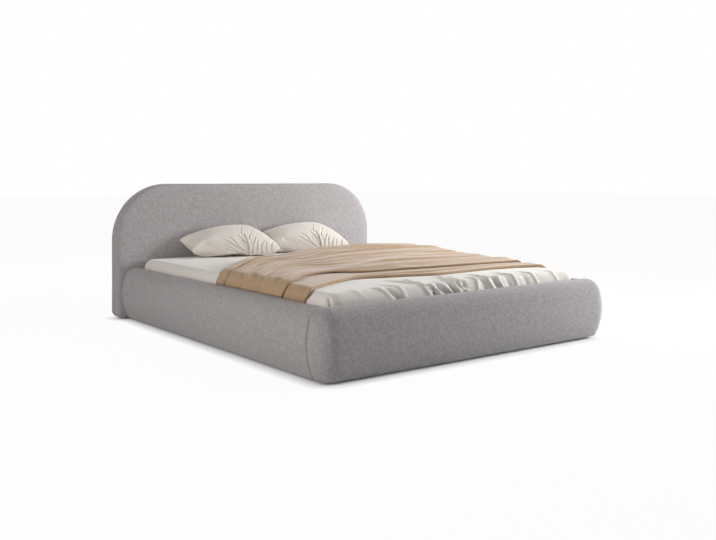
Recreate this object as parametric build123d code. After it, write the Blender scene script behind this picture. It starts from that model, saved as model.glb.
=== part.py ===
from build123d import *
import math
import os

# An upholstered bed with a barrel-sided frame and a round-shouldered headboard.
# Millimetres. The origin is on the floor under the middle of the bed,
# +X runs across it, +Y towards the headboard and +Z up.

# Mattress and the room around it
mattress_length = 2000
mattress_width = 1600
mattress_thickness = 200
mattress_corner_radius = 60
mattress_edge_radius = 26
mattress_gap = 5
mattress_base_height = 155

# Upholstery: a fabric cover over foam
cover_thickness = 3
soft_clearance = 0.3

# Barrel section shared by the side rails and the footboard
rail_thickness = 120
rail_height = 306
footboard_height = 312
frame_floor_gap = 12
barrel_radius = 330
bulge_height = 165
crown_radius = 75
toe_radius = 15
inner_edge_radius = 20
rail_end_radius = 12
footboard_corner_radius = 90

# Boards inside the rails and the footboard
board_thickness = 22
board_top_drop = 62
board_end_gap = 13

# Headboard
headboard_overhang = 20
headboard_height = 815
headboard_thickness = 120
headboard_floor_gap = 6
headboard_shoulder_radius = 340
headboard_foot_radius = 40
headboard_front_radius = 22
headboard_back_radius = 14
headboard_front_foam = 50
headboard_rim_foam = 25
front_board_thickness = 9
lining_thickness = 2
lining_margin = 6

# Headboard frame of battens
batten_width = 45
foot_batten_height = 100
middle_batten_height = 290
inner_post_offset = 560

# Slatted base
slat_thickness = 18
slat_width = 70
slat_count = 12
slat_end_gap = 2
slat_edge_radius = 4
strap_width = 25
strap_thickness = 1.5
strap_offset = 500

# Steel ledges under the slats, and their screws
ledge_leg = 30
ledge_wall = 3
ledge_end_gap = 65
screw_count = 6
screw_margin = 60
screw_radius = 2.5
screw_head_radius = 4.5
screw_head_height = 2.5
screw_depth = 20

# Corner brackets and bolts
bracket_leg = 60
bracket_height = 100
bracket_wall = 3
bracket_base_height = 34
bolt_radius = 4
bolt_hole_clearance = 0.3
bolt_head_radius = 7
bolt_head_height = 5.3
bolt_end_margin = 25
bolt_grip = 20
bolt_head_grip = 35

# Centre beam, its hangers, legs and levelling feet
beam_width = 40
beam_depth = 60
hanger_reach = 30
hanger_wall = 3
hanger_clearance = 0.3
hanger_flange = 24
leg_side = 45
leg_spacing = 660
leg_floor_gap = 22
foot_disc_radius = 20
foot_disc_height = 8
foot_disc_edge = 2
foot_stem_radius = 5
foot_stem_grip = 26
stem_clearance = 0.05
foot_travel = 12
bore_end_gap = 4

# Floor glides
glide_radius = 11
glide_edge = 1.5
headboard_glide_count = 3
rail_glide_count = 3
glide_end_margin = 120

# Fitted sheet
sheet_thickness = 2
sheet_hem_height = 215
sheet_fold_height = 9
sheet_fold_width = 34
sheet_fold_stations_share = (-0.28, -0.1, 0.04, 0.17, 0.31, 0.5)
sheet_fold_head_share = -0.79
sheet_fold_foot_share = -0.965
sheet_fold_drift_share = 0.07
# Place along a fold, and its share of the full rise there
sheet_fold_rise_shares = ((0, 0.35), (0.5, 1), (1, 0.5))

# Throw, laid across the bed
throw_thickness = 8
throw_fullness = 56
throw_fold_rise = 5
throw_layer_step = 7
throw_step_run = 6
throw_hem_height = 303
# Shares of the half width, then of the half length at the head edge, at the
# upper layer's edge and at the foot edge, then of the fullness
throw_station_shares = (
    (-1.0, -0.02, -0.63, -0.84, 0.0),
    (-0.76, 0.22, -0.55, -0.76, 0.04),
    (-0.5, 0.41, -0.47, -0.67, 0.12),
    (-0.2, 0.46, -0.53, -0.68, 0.4),
    (0.1, 0.47, -0.57, -0.75, 0.75),
    (0.45, 0.48, -0.59, -0.74, 1.0),
    (0.75, 0.49, -0.61, -0.75, 0.95),
    (1.0, 0.5, -0.63, -0.8, 0.8),
)
# Places of the fold valleys from the head edge to the upper layer's edge, and
# how full the throw is there
throw_valley_shares = ((0.0, 0.85), (0.16, 1.0), (0.36, 0.85), (0.58, 0.45), (0.8, 0.12), (1.0, 0.0))

# Pillows
pillow_width = 525
pillow_depth = 330
pillow_thickness = 196
pillow_tilt = 14
pillow_sink = 14
pillow_spacing = 545
pillow_shift = -30
pillow_headboard_sink = 8
# Shares of the half thickness, of the plan at that height, and of how far each
# side bows out from the line between its corners
pillow_level_shares = (
    (-1.0, 0.35, 0.3),
    (-0.6, 0.78, 0.1),
    (0.0, 1.0, -0.08),
    (0.6, 0.78, 0.1),
    (1.0, 0.35, 0.3),
)

cut_overrun = 10

# Places that follow from the sizes above
half_mattress = mattress_width / 2
half_length = mattress_length / 2
rail_inner = half_mattress + mattress_gap
rail_outer = rail_inner + rail_thickness
well_end = half_length + mattress_gap
corner_axis_offset = rail_thickness - footboard_corner_radius
foam_inset = cover_thickness + soft_clearance
board_base = frame_floor_gap + foam_inset
headboard_front = well_end
headboard_back = headboard_front + headboard_thickness
padded_back = headboard_back - lining_thickness
front_board_face = headboard_front + foam_inset + headboard_front_foam
batten_face = front_board_face + front_board_thickness
pocket_inset = foam_inset + headboard_rim_foam
half_headboard = rail_outer + headboard_overhang
pocket_side = half_headboard - pocket_inset
pocket_base = headboard_floor_gap + pocket_inset
pocket_top = headboard_height - pocket_inset
foot_batten_top = pocket_base + foot_batten_height
slat_base = mattress_base_height - slat_thickness
ledge_base = slat_base - ledge_leg
ledge_half_length = half_length - ledge_end_gap
beam_base = slat_base - beam_depth
mattress_top = mattress_base_height + mattress_thickness
sheet_top = mattress_top + soft_clearance + sheet_thickness
throw_base = sheet_top + soft_clearance
foot_stem_top = leg_floor_gap + foot_stem_grip
bracket_bolt_heights = (
    bracket_base_height + bolt_end_margin,
    bracket_base_height + bracket_height - bolt_end_margin,
)
bracket_bolt_offset = bracket_wall + bolt_head_grip
hanger_half_width = beam_width / 2 + hanger_clearance + hanger_wall
hanger_bolt_offset = hanger_half_width + hanger_flange / 2
hanger_bolt_height = beam_base + beam_depth / 2


def span_box(low, high):
    """A box between two opposite corners."""
    sizes = [end - start for start, end in zip(low, high)]
    return Pos(*low) * Box(*sizes, align=(Align.MIN, Align.MIN, Align.MIN))


def rod(start, direction, radius, length):
    """A round rod from a point along a direction."""
    base = Plane(origin=start, z_dir=direction)
    return base * Cylinder(radius, length, align=(Align.CENTER, Align.CENTER, Align.MIN))


def mirrored(shape):
    """The same shape on the other side of the bed."""
    return mirror(shape, about=Plane.YZ)


def circle_reach(radius, height):
    """How far out a round of the barrel section has its centre."""
    rise = height - bulge_height
    run = math.sqrt((barrel_radius - radius) ** 2 - rise**2)
    return rail_thickness - barrel_radius + run


def polar_degrees(centre, point):
    """The angle of a point seen from a centre."""
    return math.degrees(math.atan2(point[1] - centre[1], point[0] - centre[0]))


def barrel_profile(top, inset, inner_face=None):
    """The rail section: out from the inner face, and up.

    With inner_face, the section starts there with square corners.
    """
    side = (rail_thickness - barrel_radius, bulge_height)
    crown_height = top - crown_radius
    toe_height = frame_floor_gap + toe_radius
    crown = (circle_reach(crown_radius, crown_height), crown_height)
    toe = (circle_reach(toe_radius, toe_height), toe_height)
    crown_angle = polar_degrees(side, crown)
    toe_angle = polar_degrees(side, toe)
    top_line = top - inset
    base_line = frame_floor_gap + inset
    edges = [
        CenterArc(toe, toe_radius - inset, -90, toe_angle + 90),
        CenterArc(side, barrel_radius - inset, toe_angle, crown_angle - toe_angle),
        CenterArc(crown, crown_radius - inset, crown_angle, 90 - crown_angle),
    ]
    if inner_face is None:
        edge_centre = (inner_edge_radius, top - inner_edge_radius)
        edges.append(Line((crown[0], top_line), (inner_edge_radius, top_line)))
        edges.append(CenterArc(edge_centre, inner_edge_radius - inset, 90, 90))
        edges.append(Line((inset, edge_centre[1]), (inset, base_line)))
        edges.append(Line((inset, base_line), (toe[0], base_line)))
    else:
        edges.append(Line((crown[0], top_line), (inner_face, top_line)))
        edges.append(Line((inner_face, top_line), (inner_face, base_line)))
        edges.append(Line((inner_face, base_line), (toe[0], base_line)))
    return Face(Wire(edges))


def standing_plane(origin, outward):
    """A plane whose first axis points outward and whose second points up."""
    out = Vector(*outward)
    return Plane(origin=origin, x_dir=out, z_dir=out.cross(Vector(0, 0, 1)))


def side_rail_body(inset):
    """The right side rail as one solid, drawn in by an inset."""
    section = standing_plane((rail_inner, -well_end + inset, 0), (1, 0, 0))
    profile = section * barrel_profile(rail_height, inset)
    body = Solid.extrude(profile, Vector(0, 2 * (well_end - inset), 0))
    ends = body.faces().sort_by(Axis.Y)
    rims = ends[0].outer_wire().edges() + ends[-1].outer_wire().edges()
    return fillet(rims, rail_end_radius - inset)


def footboard_body(inset):
    """The footboard as one solid with rounded ends, drawn in by an inset."""
    corner_x = rail_outer - footboard_corner_radius
    corner_y = -(well_end + corner_axis_offset)
    across = standing_plane((-corner_x, -well_end, 0), (0, -1, 0))
    body = Solid.extrude(
        across * barrel_profile(footboard_height, inset),
        Vector(2 * corner_x, 0, 0),
    )
    clipped = barrel_profile(footboard_height, inset, corner_axis_offset)
    start = standing_plane((corner_x, -well_end, 0), (0, -1, 0))
    corner = Solid.revolve(start * clipped, 90, Axis((corner_x, corner_y, 0), (0, 0, 1)))
    end = standing_plane((corner_x - corner_axis_offset, corner_y, 0), (1, 0, 0))
    block = Solid.extrude(end * clipped, Vector(0, corner_axis_offset - inset, 0))
    right_end = corner + block
    return (body + right_end + mirrored(right_end)).solid()


def headboard_outline(inset):
    """The headboard seen from the front, drawn in by an inset."""
    half = half_headboard - inset
    top = headboard_height - inset
    base = headboard_floor_gap + inset
    shoulder = headboard_shoulder_radius - inset
    toe = max(headboard_foot_radius - inset, cover_thickness)
    with BuildSketch(Plane.XZ) as outline:
        with BuildLine():
            FilletPolyline(
                (-half, base),
                (half, base),
                (half, top),
                (-half, top),
                radius=(toe, toe, shoulder, shoulder),
                close=True,
            )
        make_face()
    return outline.sketch.face()


def headboard_slab(inset, front, back):
    """A plate of the headboard's outline between two depths."""
    face = Pos(0, front, 0) * headboard_outline(inset)
    return Solid.extrude(face, Vector(0, back - front, 0))


def headboard_body(inset):
    """The padded headboard as one solid with rounded edges."""
    slab = headboard_slab(inset, headboard_front + inset, padded_back - inset)
    front_rim = slab.faces().sort_by(Axis.Y)[0].outer_wire().edges()
    softened = fillet(front_rim, headboard_front_radius - inset)
    back_rim = softened.faces().sort_by(Axis.Y)[-1].outer_wire().edges()
    return fillet(back_rim, headboard_back_radius - inset)


def corner_signs():
    """The four corners of the mattress well."""
    return [(side, end) for side in (-1, 1) for end in (-1, 1)]


def frame_bolt_axes():
    """Start, direction and grip length of every frame bolt, from its head."""
    bolts = []
    head_grip = bracket_wall + batten_face - headboard_front + bolt_grip
    board_grip = bracket_wall + foam_inset + bolt_grip
    end_grips = {-1: board_grip, 1: head_grip}
    for side, end in corner_signs():
        for height in bracket_bolt_heights:
            rail_start = (
                side * (rail_inner - bracket_wall),
                end * (well_end - bracket_bolt_offset),
                height,
            )
            end_start = (
                side * (rail_inner - bracket_bolt_offset),
                end * (well_end - bracket_wall),
                height,
            )
            bolts.append((rail_start, (side, 0, 0), board_grip))
            bolts.append((end_start, (0, end, 0), end_grips[end]))
    for side, end in corner_signs():
        start = (
            side * hanger_bolt_offset,
            end * (well_end - hanger_wall),
            hanger_bolt_height,
        )
        bolts.append((start, (0, end, 0), end_grips[end]))
    return bolts


def screw_axes(side):
    """Start and direction of the screws through one side's ledge."""
    run = 2 * (ledge_half_length - screw_margin)
    pitch = run / (screw_count - 1)
    height = ledge_base + ledge_leg / 2 - ledge_wall / 2
    places = [-run / 2 + index * pitch for index in range(screw_count)]
    return [((side * (rail_inner - ledge_wall), y, height), (side, 0, 0)) for y in places]


def bolt_holes():
    """Rods that clear every frame bolt."""
    radius = bolt_radius + bolt_hole_clearance
    return [
        rod(Vector(*start) - Vector(*way) * cut_overrun, way, radius, grip + cut_overrun + soft_clearance)
        for start, way, grip in frame_bolt_axes()
    ]


def screw_holes(side):
    """Rods that clear one side's ledge screws."""
    radius = screw_radius + bolt_hole_clearance
    return [
        rod(Vector(*start) - Vector(*way) * cut_overrun, way, radius, screw_depth + cut_overrun + soft_clearance)
        for start, way in screw_axes(side)
    ]


def drilled(shape, holes):
    """The shape with each hole that reaches it cut out."""
    box = shape.bounding_box()
    near = [hole for hole in holes if box.overlaps(hole.bounding_box())]
    return shape - near if near else shape


def side_rail_parts():
    """Board, foam, cover and ledge of the right side rail."""
    outer = side_rail_body(0)
    cover = outer - side_rail_body(cover_thickness)
    board = span_box(
        (rail_inner + foam_inset, -well_end + board_end_gap, board_base),
        (
            rail_inner + foam_inset + board_thickness,
            well_end - board_end_gap,
            rail_height - board_top_drop,
        ),
    )
    foam = side_rail_body(foam_inset) - board
    ledge_top = span_box(
        (rail_inner - ledge_leg, -ledge_half_length, slat_base - ledge_wall),
        (rail_inner, ledge_half_length, slat_base),
    )
    ledge_side = span_box(
        (rail_inner - ledge_wall, -ledge_half_length, ledge_base),
        (rail_inner, ledge_half_length, slat_base),
    )
    holes = bolt_holes() + screw_holes(1)
    return {
        "side_board": drilled(board, holes),
        "side_foam": foam,
        "side_cover": drilled(cover, holes),
        "side_ledge": drilled(ledge_top + ledge_side, screw_holes(1)),
    }


def footboard_parts():
    """Board, foam and cover of the footboard."""
    half_board = rail_outer - footboard_corner_radius
    cover = footboard_body(0) - footboard_body(cover_thickness)
    board = span_box(
        (-half_board, -well_end - foam_inset - board_thickness, board_base),
        (half_board, -well_end - foam_inset, footboard_height - board_top_drop),
    )
    foam = footboard_body(foam_inset) - board
    holes = bolt_holes()
    return {
        "footboard_board": drilled(board, holes),
        "footboard_foam": foam,
        "footboard_cover": drilled(cover, holes),
    }


def headboard_padding():
    """Foam, cover, front board and back lining of the headboard."""
    holes = bolt_holes()
    inner = headboard_body(cover_thickness)
    opening = headboard_slab(pocket_inset, front_board_face, headboard_back)
    back_panel = headboard_slab(
        pocket_inset - soft_clearance,
        padded_back - cover_thickness - cut_overrun,
        headboard_back,
    )
    cover = headboard_body(0) - inner - back_panel
    foam = headboard_body(foam_inset) - opening
    front_board = headboard_slab(pocket_inset, front_board_face, batten_face)
    lining_inset = headboard_back_radius + lining_margin
    return {
        "headboard_cover": drilled(cover, holes),
        "headboard_foam": drilled(foam, holes),
        "headboard_front_board": drilled(front_board, holes),
        "headboard_back_lining": headboard_slab(lining_inset, padded_back, headboard_back),
    }


def headboard_frame():
    """The battens behind the headboard's front board."""
    middle_top = middle_batten_height + batten_width
    shoulder_base = headboard_height - headboard_shoulder_radius
    top_batten_base = pocket_top - batten_width
    half_top = half_headboard - headboard_shoulder_radius

    def batten(left, right, base, top):
        return span_box((left, batten_face, base), (right, padded_back, top))

    frame = {
        "headboard_foot_batten": batten(-pocket_side, pocket_side, pocket_base, foot_batten_top),
        "headboard_middle_batten": batten(
            batten_width - pocket_side, pocket_side - batten_width, middle_batten_height, middle_top
        ),
        "headboard_top_batten": batten(-half_top, half_top, top_batten_base, pocket_top),
    }
    outer_post = batten(pocket_side - batten_width, pocket_side, foot_batten_top, shoulder_base)
    inner_post = batten(
        inner_post_offset - batten_width, inner_post_offset, middle_top, top_batten_base
    )
    frame["headboard_outer_post_right"] = outer_post
    frame["headboard_outer_post_left"] = mirrored(outer_post)
    frame["headboard_inner_post_right"] = inner_post
    frame["headboard_inner_post_left"] = mirrored(inner_post)
    pocket = headboard_slab(pocket_inset, batten_face, padded_back)
    foot_batten = (frame["headboard_foot_batten"] & pocket).solid()
    frame["headboard_foot_batten"] = drilled(foot_batten, bolt_holes())
    return frame


def corner_bracket(side, end):
    """An angle of steel that ties a side rail to the headboard or footboard."""
    top = bracket_base_height + bracket_height
    rail_leg = span_box(
        (rail_inner - bracket_wall, well_end - bracket_leg, bracket_base_height),
        (rail_inner, well_end, top),
    )
    end_leg = span_box(
        (rail_inner - bracket_leg, well_end - bracket_wall, bracket_base_height),
        (rail_inner, well_end, top),
    )
    bracket = rail_leg + end_leg
    if end < 0:
        bracket = mirror(bracket, about=Plane.XZ)
    if side < 0:
        bracket = mirrored(bracket)
    return drilled(bracket, bolt_holes())


def frame_bolts():
    """Hexagon bolts through the corner brackets and the beam hangers."""
    bolts = []
    for start, way, grip in frame_bolt_axes():
        head_plane = Plane(origin=start, z_dir=-Vector(*way))
        head = extrude(head_plane * RegularPolygon(bolt_head_radius, 6), amount=bolt_head_height)
        bolts.append((rod(start, way, bolt_radius, grip) + head).solid())
    return Compound(children=bolts)


def ledge_screws():
    """Pan-head screws that hold the ledges to the side boards."""
    screws = []
    for start, way in screw_axes(-1) + screw_axes(1):
        head = rod(start, -Vector(*way), screw_head_radius, screw_head_height)
        head = fillet(head.edges().group_by(Axis.X)[0 if way[0] > 0 else -1], screw_head_height / 2)
        screws.append((rod(start, way, screw_radius, screw_depth) + head).solid())
    return Compound(children=screws)


def slats():
    """The slats in order from foot to head."""
    pitch = (2 * ledge_half_length - slat_width) / (slat_count - 1)
    half_slat = rail_inner - ledge_wall - slat_end_gap
    boards = []
    for index in range(slat_count):
        start = -ledge_half_length + index * pitch
        board = span_box(
            (-half_slat, start, slat_base),
            (half_slat, start + slat_width, mattress_base_height),
        )
        boards.append(fillet(board.edges().filter_by(Axis.X), slat_edge_radius))
    return boards


def slat_strap(offset):
    """A strip of webbing stapled under the slats."""
    return span_box(
        (offset - strap_width / 2, -ledge_half_length, slat_base - strap_thickness),
        (offset + strap_width / 2, ledge_half_length, slat_base),
    )


def centre_beam():
    """The beam under the middle of the slats."""
    reach = well_end - hanger_wall - hanger_clearance
    return span_box((-beam_width / 2, -reach, beam_base), (beam_width / 2, reach, slat_base))


def beam_hanger(end):
    """A folded steel cup that carries one end of the beam."""
    side = hanger_half_width
    face = well_end - hanger_wall
    floor_base = beam_base - hanger_wall
    plate_side = side + hanger_flange
    back_plate = span_box((-plate_side, face, floor_base), (plate_side, well_end, slat_base - ledge_wall))
    cup = span_box((-side, face - hanger_reach, floor_base), (side, face, slat_base - ledge_wall))
    seat = span_box(
        (hanger_wall - side, face - hanger_reach - cut_overrun, beam_base),
        (side - hanger_wall, face, slat_base),
    )
    hanger = back_plate + (cup - seat)
    if end < 0:
        hanger = mirror(hanger, about=Plane.XZ)
    return drilled(hanger, bolt_holes())


def centre_leg(y):
    """A square leg under the beam, bored for the stem of its foot."""
    half = leg_side / 2
    block = span_box((-half, y - half, leg_floor_gap), (half, y + half, beam_base))
    depth = foot_stem_grip + foot_travel + bore_end_gap
    bore = rod((0, y, leg_floor_gap), (0, 0, 1), foot_stem_radius + stem_clearance, depth)
    return block - bore


def levelling_foot(y):
    """A round foot on a stem that slides in the leg's bore."""
    disc = rod((0, y, 0), (0, 0, 1), foot_disc_radius, foot_disc_height)
    disc = fillet(disc.edges(), foot_disc_edge)
    stem = rod((0, y, 0), (0, 0, 1), foot_stem_radius, foot_stem_top)
    return disc + stem


def glide(x, y, height):
    """One plastic glide that stands on the floor."""
    body = rod((x, y, 0), (0, 0, 1), glide_radius, height)
    return chamfer(body.edges().group_by(Axis.Z)[0], glide_edge)


def spread_places(reach, count):
    """Evenly spaced places from one end of a run to the other."""
    return [-reach + index * 2 * reach / (count - 1) for index in range(count)]


def floor_glides():
    """The glides under the headboard, the footboard and the two rails."""
    across = half_headboard - glide_end_margin
    along = well_end - glide_end_margin
    headboard_y = (batten_face + padded_back) / 2
    board_middle = foam_inset + board_thickness / 2
    head = [glide(x, headboard_y, headboard_floor_gap) for x in spread_places(across, headboard_glide_count)]
    foot = [
        glide(x, -well_end - board_middle, frame_floor_gap)
        for x in spread_places(across - glide_end_margin, headboard_glide_count)
    ]
    right = [glide(rail_inner + board_middle, y, frame_floor_gap) for y in spread_places(along, rail_glide_count)]
    return {
        "headboard_glides": Compound(children=head),
        "footboard_glides": Compound(children=foot),
        "side_rail_right_glides": Compound(children=right),
        "side_rail_left_glides": Compound(children=[mirrored(one) for one in right]),
    }


def mattress_body(growth):
    """The mattress grown by a distance all round, with rounded edges."""
    block = span_box(
        (-half_mattress - growth, -half_length - growth, mattress_base_height - growth),
        (half_mattress + growth, half_length + growth, mattress_top + growth),
    )
    block = fillet(block.edges().filter_by(Axis.Z), mattress_corner_radius + growth)
    rims = block.edges().group_by(Axis.Z)
    return fillet(rims[0] + rims[-1], mattress_edge_radius + growth)


def sheet_fold(share):
    """One long soft fold of the sheet towards the foot of the mattress."""
    head_y = half_length * sheet_fold_head_share
    foot_y = half_length * sheet_fold_foot_share
    x = half_mattress * share
    drift = half_mattress * sheet_fold_drift_share
    base = sheet_top - sheet_thickness / 2
    wires = []
    for place, rise_share in sheet_fold_rise_shares:
        rise = sheet_fold_height * rise_share
        half = sheet_fold_width / 2 * (1 + rise_share) / 2
        middle = x + drift * place
        y = head_y + (foot_y - head_y) * place
        crest = ThreePointArc(
            (middle - half, y, base),
            (middle, y, base + rise),
            (middle + half, y, base),
        )
        wires.append(Wire([crest, Line((middle + half, y, base), (middle - half, y, base))]))
    return Solid.make_loft(wires)


def fitted_sheet():
    """The sheet over the top and sides of the mattress, with its folds."""
    skin = mattress_body(soft_clearance + sheet_thickness) - mattress_body(soft_clearance)
    below = span_box(
        (-rail_inner, -well_end, 0),
        (rail_inner, well_end, sheet_hem_height),
    )
    sheet = skin - below
    folds = [sheet_fold(share) for share in sheet_fold_stations_share]
    return (sheet + folds).solid()


def throw_section(shares):
    """The throw's section across one station of the bed, head edge first."""
    x_share, head_share, layer_share, foot_share, lift_share = shares
    x = half_mattress * x_share
    head_y = half_length * head_share
    layer_y = half_length * layer_share
    foot_y = half_length * foot_share
    low = throw_base + throw_thickness
    high = low + throw_layer_step
    valleys = [
        (head_y + (layer_y - head_y) * place, high + throw_fullness * lift_share * fullness)
        for place, fullness in throw_valley_shares
    ]
    edges = [Line((x, head_y, throw_base), (x, *valleys[0]))]
    for near, far in zip(valleys, valleys[1:]):
        crest = ((near[0] + far[0]) / 2, (near[1] + far[1]) / 2 + throw_fold_rise)
        edges.append(ThreePointArc((x, *near), (x, *crest), (x, *far)))
    step_y = layer_y - throw_step_run
    crest = ((step_y + foot_y) / 2, low + throw_fold_rise)
    edges.append(Line((x, *valleys[-1]), (x, step_y, low)))
    edges.append(ThreePointArc((x, step_y, low), (x, *crest), (x, foot_y, low)))
    edges.append(Line((x, foot_y, low), (x, foot_y, throw_base)))
    edges.append(Line((x, foot_y, throw_base), (x, head_y, throw_base)))
    return Wire(edges)


def throw_side(shares):
    """The throw's end that hangs over the mattress's edge to the side rail."""
    x_share, head_share, layer_share, foot_share, lift_share = shares
    way = 1 if x_share > 0 else -1
    edge = half_mattress
    reach = edge + soft_clearance + sheet_thickness + soft_clearance
    outer = reach + throw_thickness
    head_y = half_length * head_share
    foot_y = half_length * foot_share
    top = throw_base + throw_thickness
    bend = throw_thickness + (reach - edge)
    arc_middle = math.sqrt(1 / 2) * bend
    points = [
        (edge, throw_base),
        (edge, top),
        (edge + arc_middle, top - bend + arc_middle),
        (outer, top - bend),
        (outer, throw_hem_height),
        (reach, throw_hem_height),
        (reach, throw_base),
    ]
    corners = [(way * across, foot_y, height) for across, height in points]
    edges = [
        Line(corners[0], corners[1]),
        ThreePointArc(corners[1], corners[2], corners[3]),
        Line(corners[3], corners[4]),
        Line(corners[4], corners[5]),
        Line(corners[5], corners[6]),
        Line(corners[6], corners[0]),
    ]
    return Solid.extrude(Face(Wire(edges)), Vector(0, head_y - foot_y, 0))


def throw():
    """The throw: its top with the main folds and its two hanging ends."""
    top = Solid.make_loft([throw_section(shares) for shares in throw_station_shares], ruled=True)
    ends = [throw_side(throw_station_shares[0]), throw_side(throw_station_shares[-1])]
    return (top + ends).solid()


def pillow_wire(level_share, plan_share, bow_share):
    """The pillow's outline at one height: four bowed sides."""
    half_width = pillow_width / 2 * plan_share
    half_depth = pillow_depth / 2 * plan_share
    height = pillow_thickness / 2 * level_share
    side_bow = half_depth * bow_share
    corners = [
        (-half_width, -half_depth, height),
        (half_width, -half_depth, height),
        (half_width, half_depth, height),
        (-half_width, half_depth, height),
    ]
    middles = [
        (0, -half_depth - side_bow, height),
        (half_width + side_bow, 0, height),
        (0, half_depth + side_bow, height),
        (-half_width - side_bow, 0, height),
    ]
    starts_and_ends = zip(corners, middles, corners[1:] + corners[:1])
    return Wire([ThreePointArc(start, middle, end) for start, middle, end in starts_and_ends])


def pillow(side):
    """A plump pillow that lies against the headboard, flat where it rests."""
    body = Solid.make_loft([pillow_wire(*shares) for shares in pillow_level_shares])
    body = Rot(pillow_tilt, 0, 0) * body
    rest = sheet_top + soft_clearance
    wall = headboard_front - soft_clearance
    centre = (
        pillow_shift + side * pillow_spacing / 2,
        wall + pillow_headboard_sink - pillow_depth / 2,
        rest + pillow_thickness / 2 - pillow_sink,
    )
    placed = Pos(*centre) * body
    room = span_box(
        (centre[0] - pillow_width, wall - 2 * pillow_depth, rest),
        (centre[0] + pillow_width, wall, rest + 2 * pillow_thickness),
    )
    return (placed & room).solid()


def bed_parts():
    """Every node of the bed by name."""
    parts = {}
    parts.update(headboard_padding())
    parts.update(headboard_frame())
    parts.update(footboard_parts())
    for name, shape in side_rail_parts().items():
        parts[name.replace("side_", "side_rail_right_")] = shape
        parts[name.replace("side_", "side_rail_left_")] = mirrored(shape)
    for side, side_name in ((-1, "left"), (1, "right")):
        for end, end_name in ((-1, "foot"), (1, "head")):
            parts[f"corner_bracket_{end_name}_{side_name}"] = corner_bracket(side, end)
    parts["frame_bolts"] = frame_bolts()
    parts["ledge_screws"] = ledge_screws()
    for number, board in enumerate(slats(), start=1):
        parts[f"slat_{number:02d}"] = board
    parts["slat_strap_left"] = slat_strap(-strap_offset)
    parts["slat_strap_right"] = slat_strap(strap_offset)
    parts["centre_beam"] = centre_beam()
    parts["beam_hanger_foot"] = beam_hanger(-1)
    parts["beam_hanger_head"] = beam_hanger(1)
    for end, end_name in ((-1, "foot"), (1, "head")):
        y = end * leg_spacing / 2
        parts[f"centre_leg_{end_name}"] = centre_leg(y)
        parts[f"levelling_foot_{end_name}"] = levelling_foot(y)
    parts.update(floor_glides())
    parts["mattress"] = mattress_body(0)
    parts["fitted_sheet"] = fitted_sheet()
    parts["throw"] = throw()
    parts["pillow_left"] = pillow(-1)
    parts["pillow_right"] = pillow(1)
    return parts


os.makedirs("parts", exist_ok=True)
for node, shape in bed_parts().items():
    export_step(shape, f"parts/{node}.step")
    print(node)
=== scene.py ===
import logging
import math
from collections.abc import Sequence
from dataclasses import dataclass
from enum import Enum

import bmesh
import bpy
import numpy as np
from mathutils import Matrix, Vector, noise


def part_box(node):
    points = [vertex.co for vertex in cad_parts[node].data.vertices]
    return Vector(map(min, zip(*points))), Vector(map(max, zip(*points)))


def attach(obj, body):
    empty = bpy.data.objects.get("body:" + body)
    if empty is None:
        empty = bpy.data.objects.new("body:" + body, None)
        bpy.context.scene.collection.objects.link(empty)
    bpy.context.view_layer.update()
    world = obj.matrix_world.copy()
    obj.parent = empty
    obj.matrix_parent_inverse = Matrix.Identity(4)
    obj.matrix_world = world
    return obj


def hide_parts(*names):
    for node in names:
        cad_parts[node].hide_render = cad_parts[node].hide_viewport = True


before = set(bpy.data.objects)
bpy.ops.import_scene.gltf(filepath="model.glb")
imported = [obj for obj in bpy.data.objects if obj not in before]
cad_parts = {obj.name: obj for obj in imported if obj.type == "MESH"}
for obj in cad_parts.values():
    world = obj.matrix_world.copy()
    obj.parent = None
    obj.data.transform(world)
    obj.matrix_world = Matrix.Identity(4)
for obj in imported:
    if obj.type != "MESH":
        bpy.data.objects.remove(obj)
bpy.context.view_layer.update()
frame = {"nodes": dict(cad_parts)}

# An upholstered bed. Metres, with the origin on the floor under its middle,
# +X across it, +Y towards the headboard and +Z up.

log = logging.getLogger("bed")

Point = tuple[float, float, float]
Flat = tuple[float, float]
Pair = tuple[float, float]
Triple = tuple[float, float, float]
Colour = tuple[float, float, float, float]

FRAME_BODY = "frame"
SHARP_ANGLE = math.radians(38)
MERGE_DISTANCE = 1e-5
LEAST_LENGTH = 1e-9
LEAST_SQUARE = 1e-12
NOISE_ROUGHNESS = 0.6


class Side(Enum):
    """A side of the bed, as a sign along X."""

    LEFT = -1
    RIGHT = 1

    @property
    def word(self) -> str:
        """The side's name, as the parts' names have it."""
        return self.name.lower()


class Axis(Enum):
    """An axis, as an index into a point."""

    X = 0
    Y = 1
    Z = 2

    @property
    def unit(self) -> Vector:
        """The unit vector along the axis."""
        return Vector([1.0 if index == self.value else 0.0 for index in range(3)])


def srgb(red: int, green: int, blue: int) -> Colour:
    """Turn a screen colour of 0 to 255 into a linear one.

    Args:
        red: The red value.
        green: The green value.
        blue: The blue value.

    Returns:
        The linear colour with full alpha.
    """
    shares = [value / 255 for value in (red, green, blue)]
    linear = [s / 12.92 if s <= 0.04045 else ((s + 0.055) / 1.055) ** 2.4 for s in shares]
    return linear[0], linear[1], linear[2], 1.0


def smoothstep(value: float) -> float:
    """Ease a share from 0 to 1, held at both ends."""
    held = min(max(value, 0.0), 1.0)
    return held * held * (3 - 2 * held)


# Shapes


def arc(centre: Flat, radius: float, start: float, turn: float, steps: int) -> list[Flat]:
    """Points along an arc, its two ends included.

    Args:
        centre: The arc's centre.
        radius: Its radius.
        start: Its first angle in degrees.
        turn: How far it goes round, in degrees.
        steps: The number of equal parts.

    Returns:
        The points in order.
    """
    angles = [math.radians(start + turn * index / steps) for index in range(steps + 1)]
    return [(centre[0] + radius * math.cos(a), centre[1] + radius * math.sin(a)) for a in angles]


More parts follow.
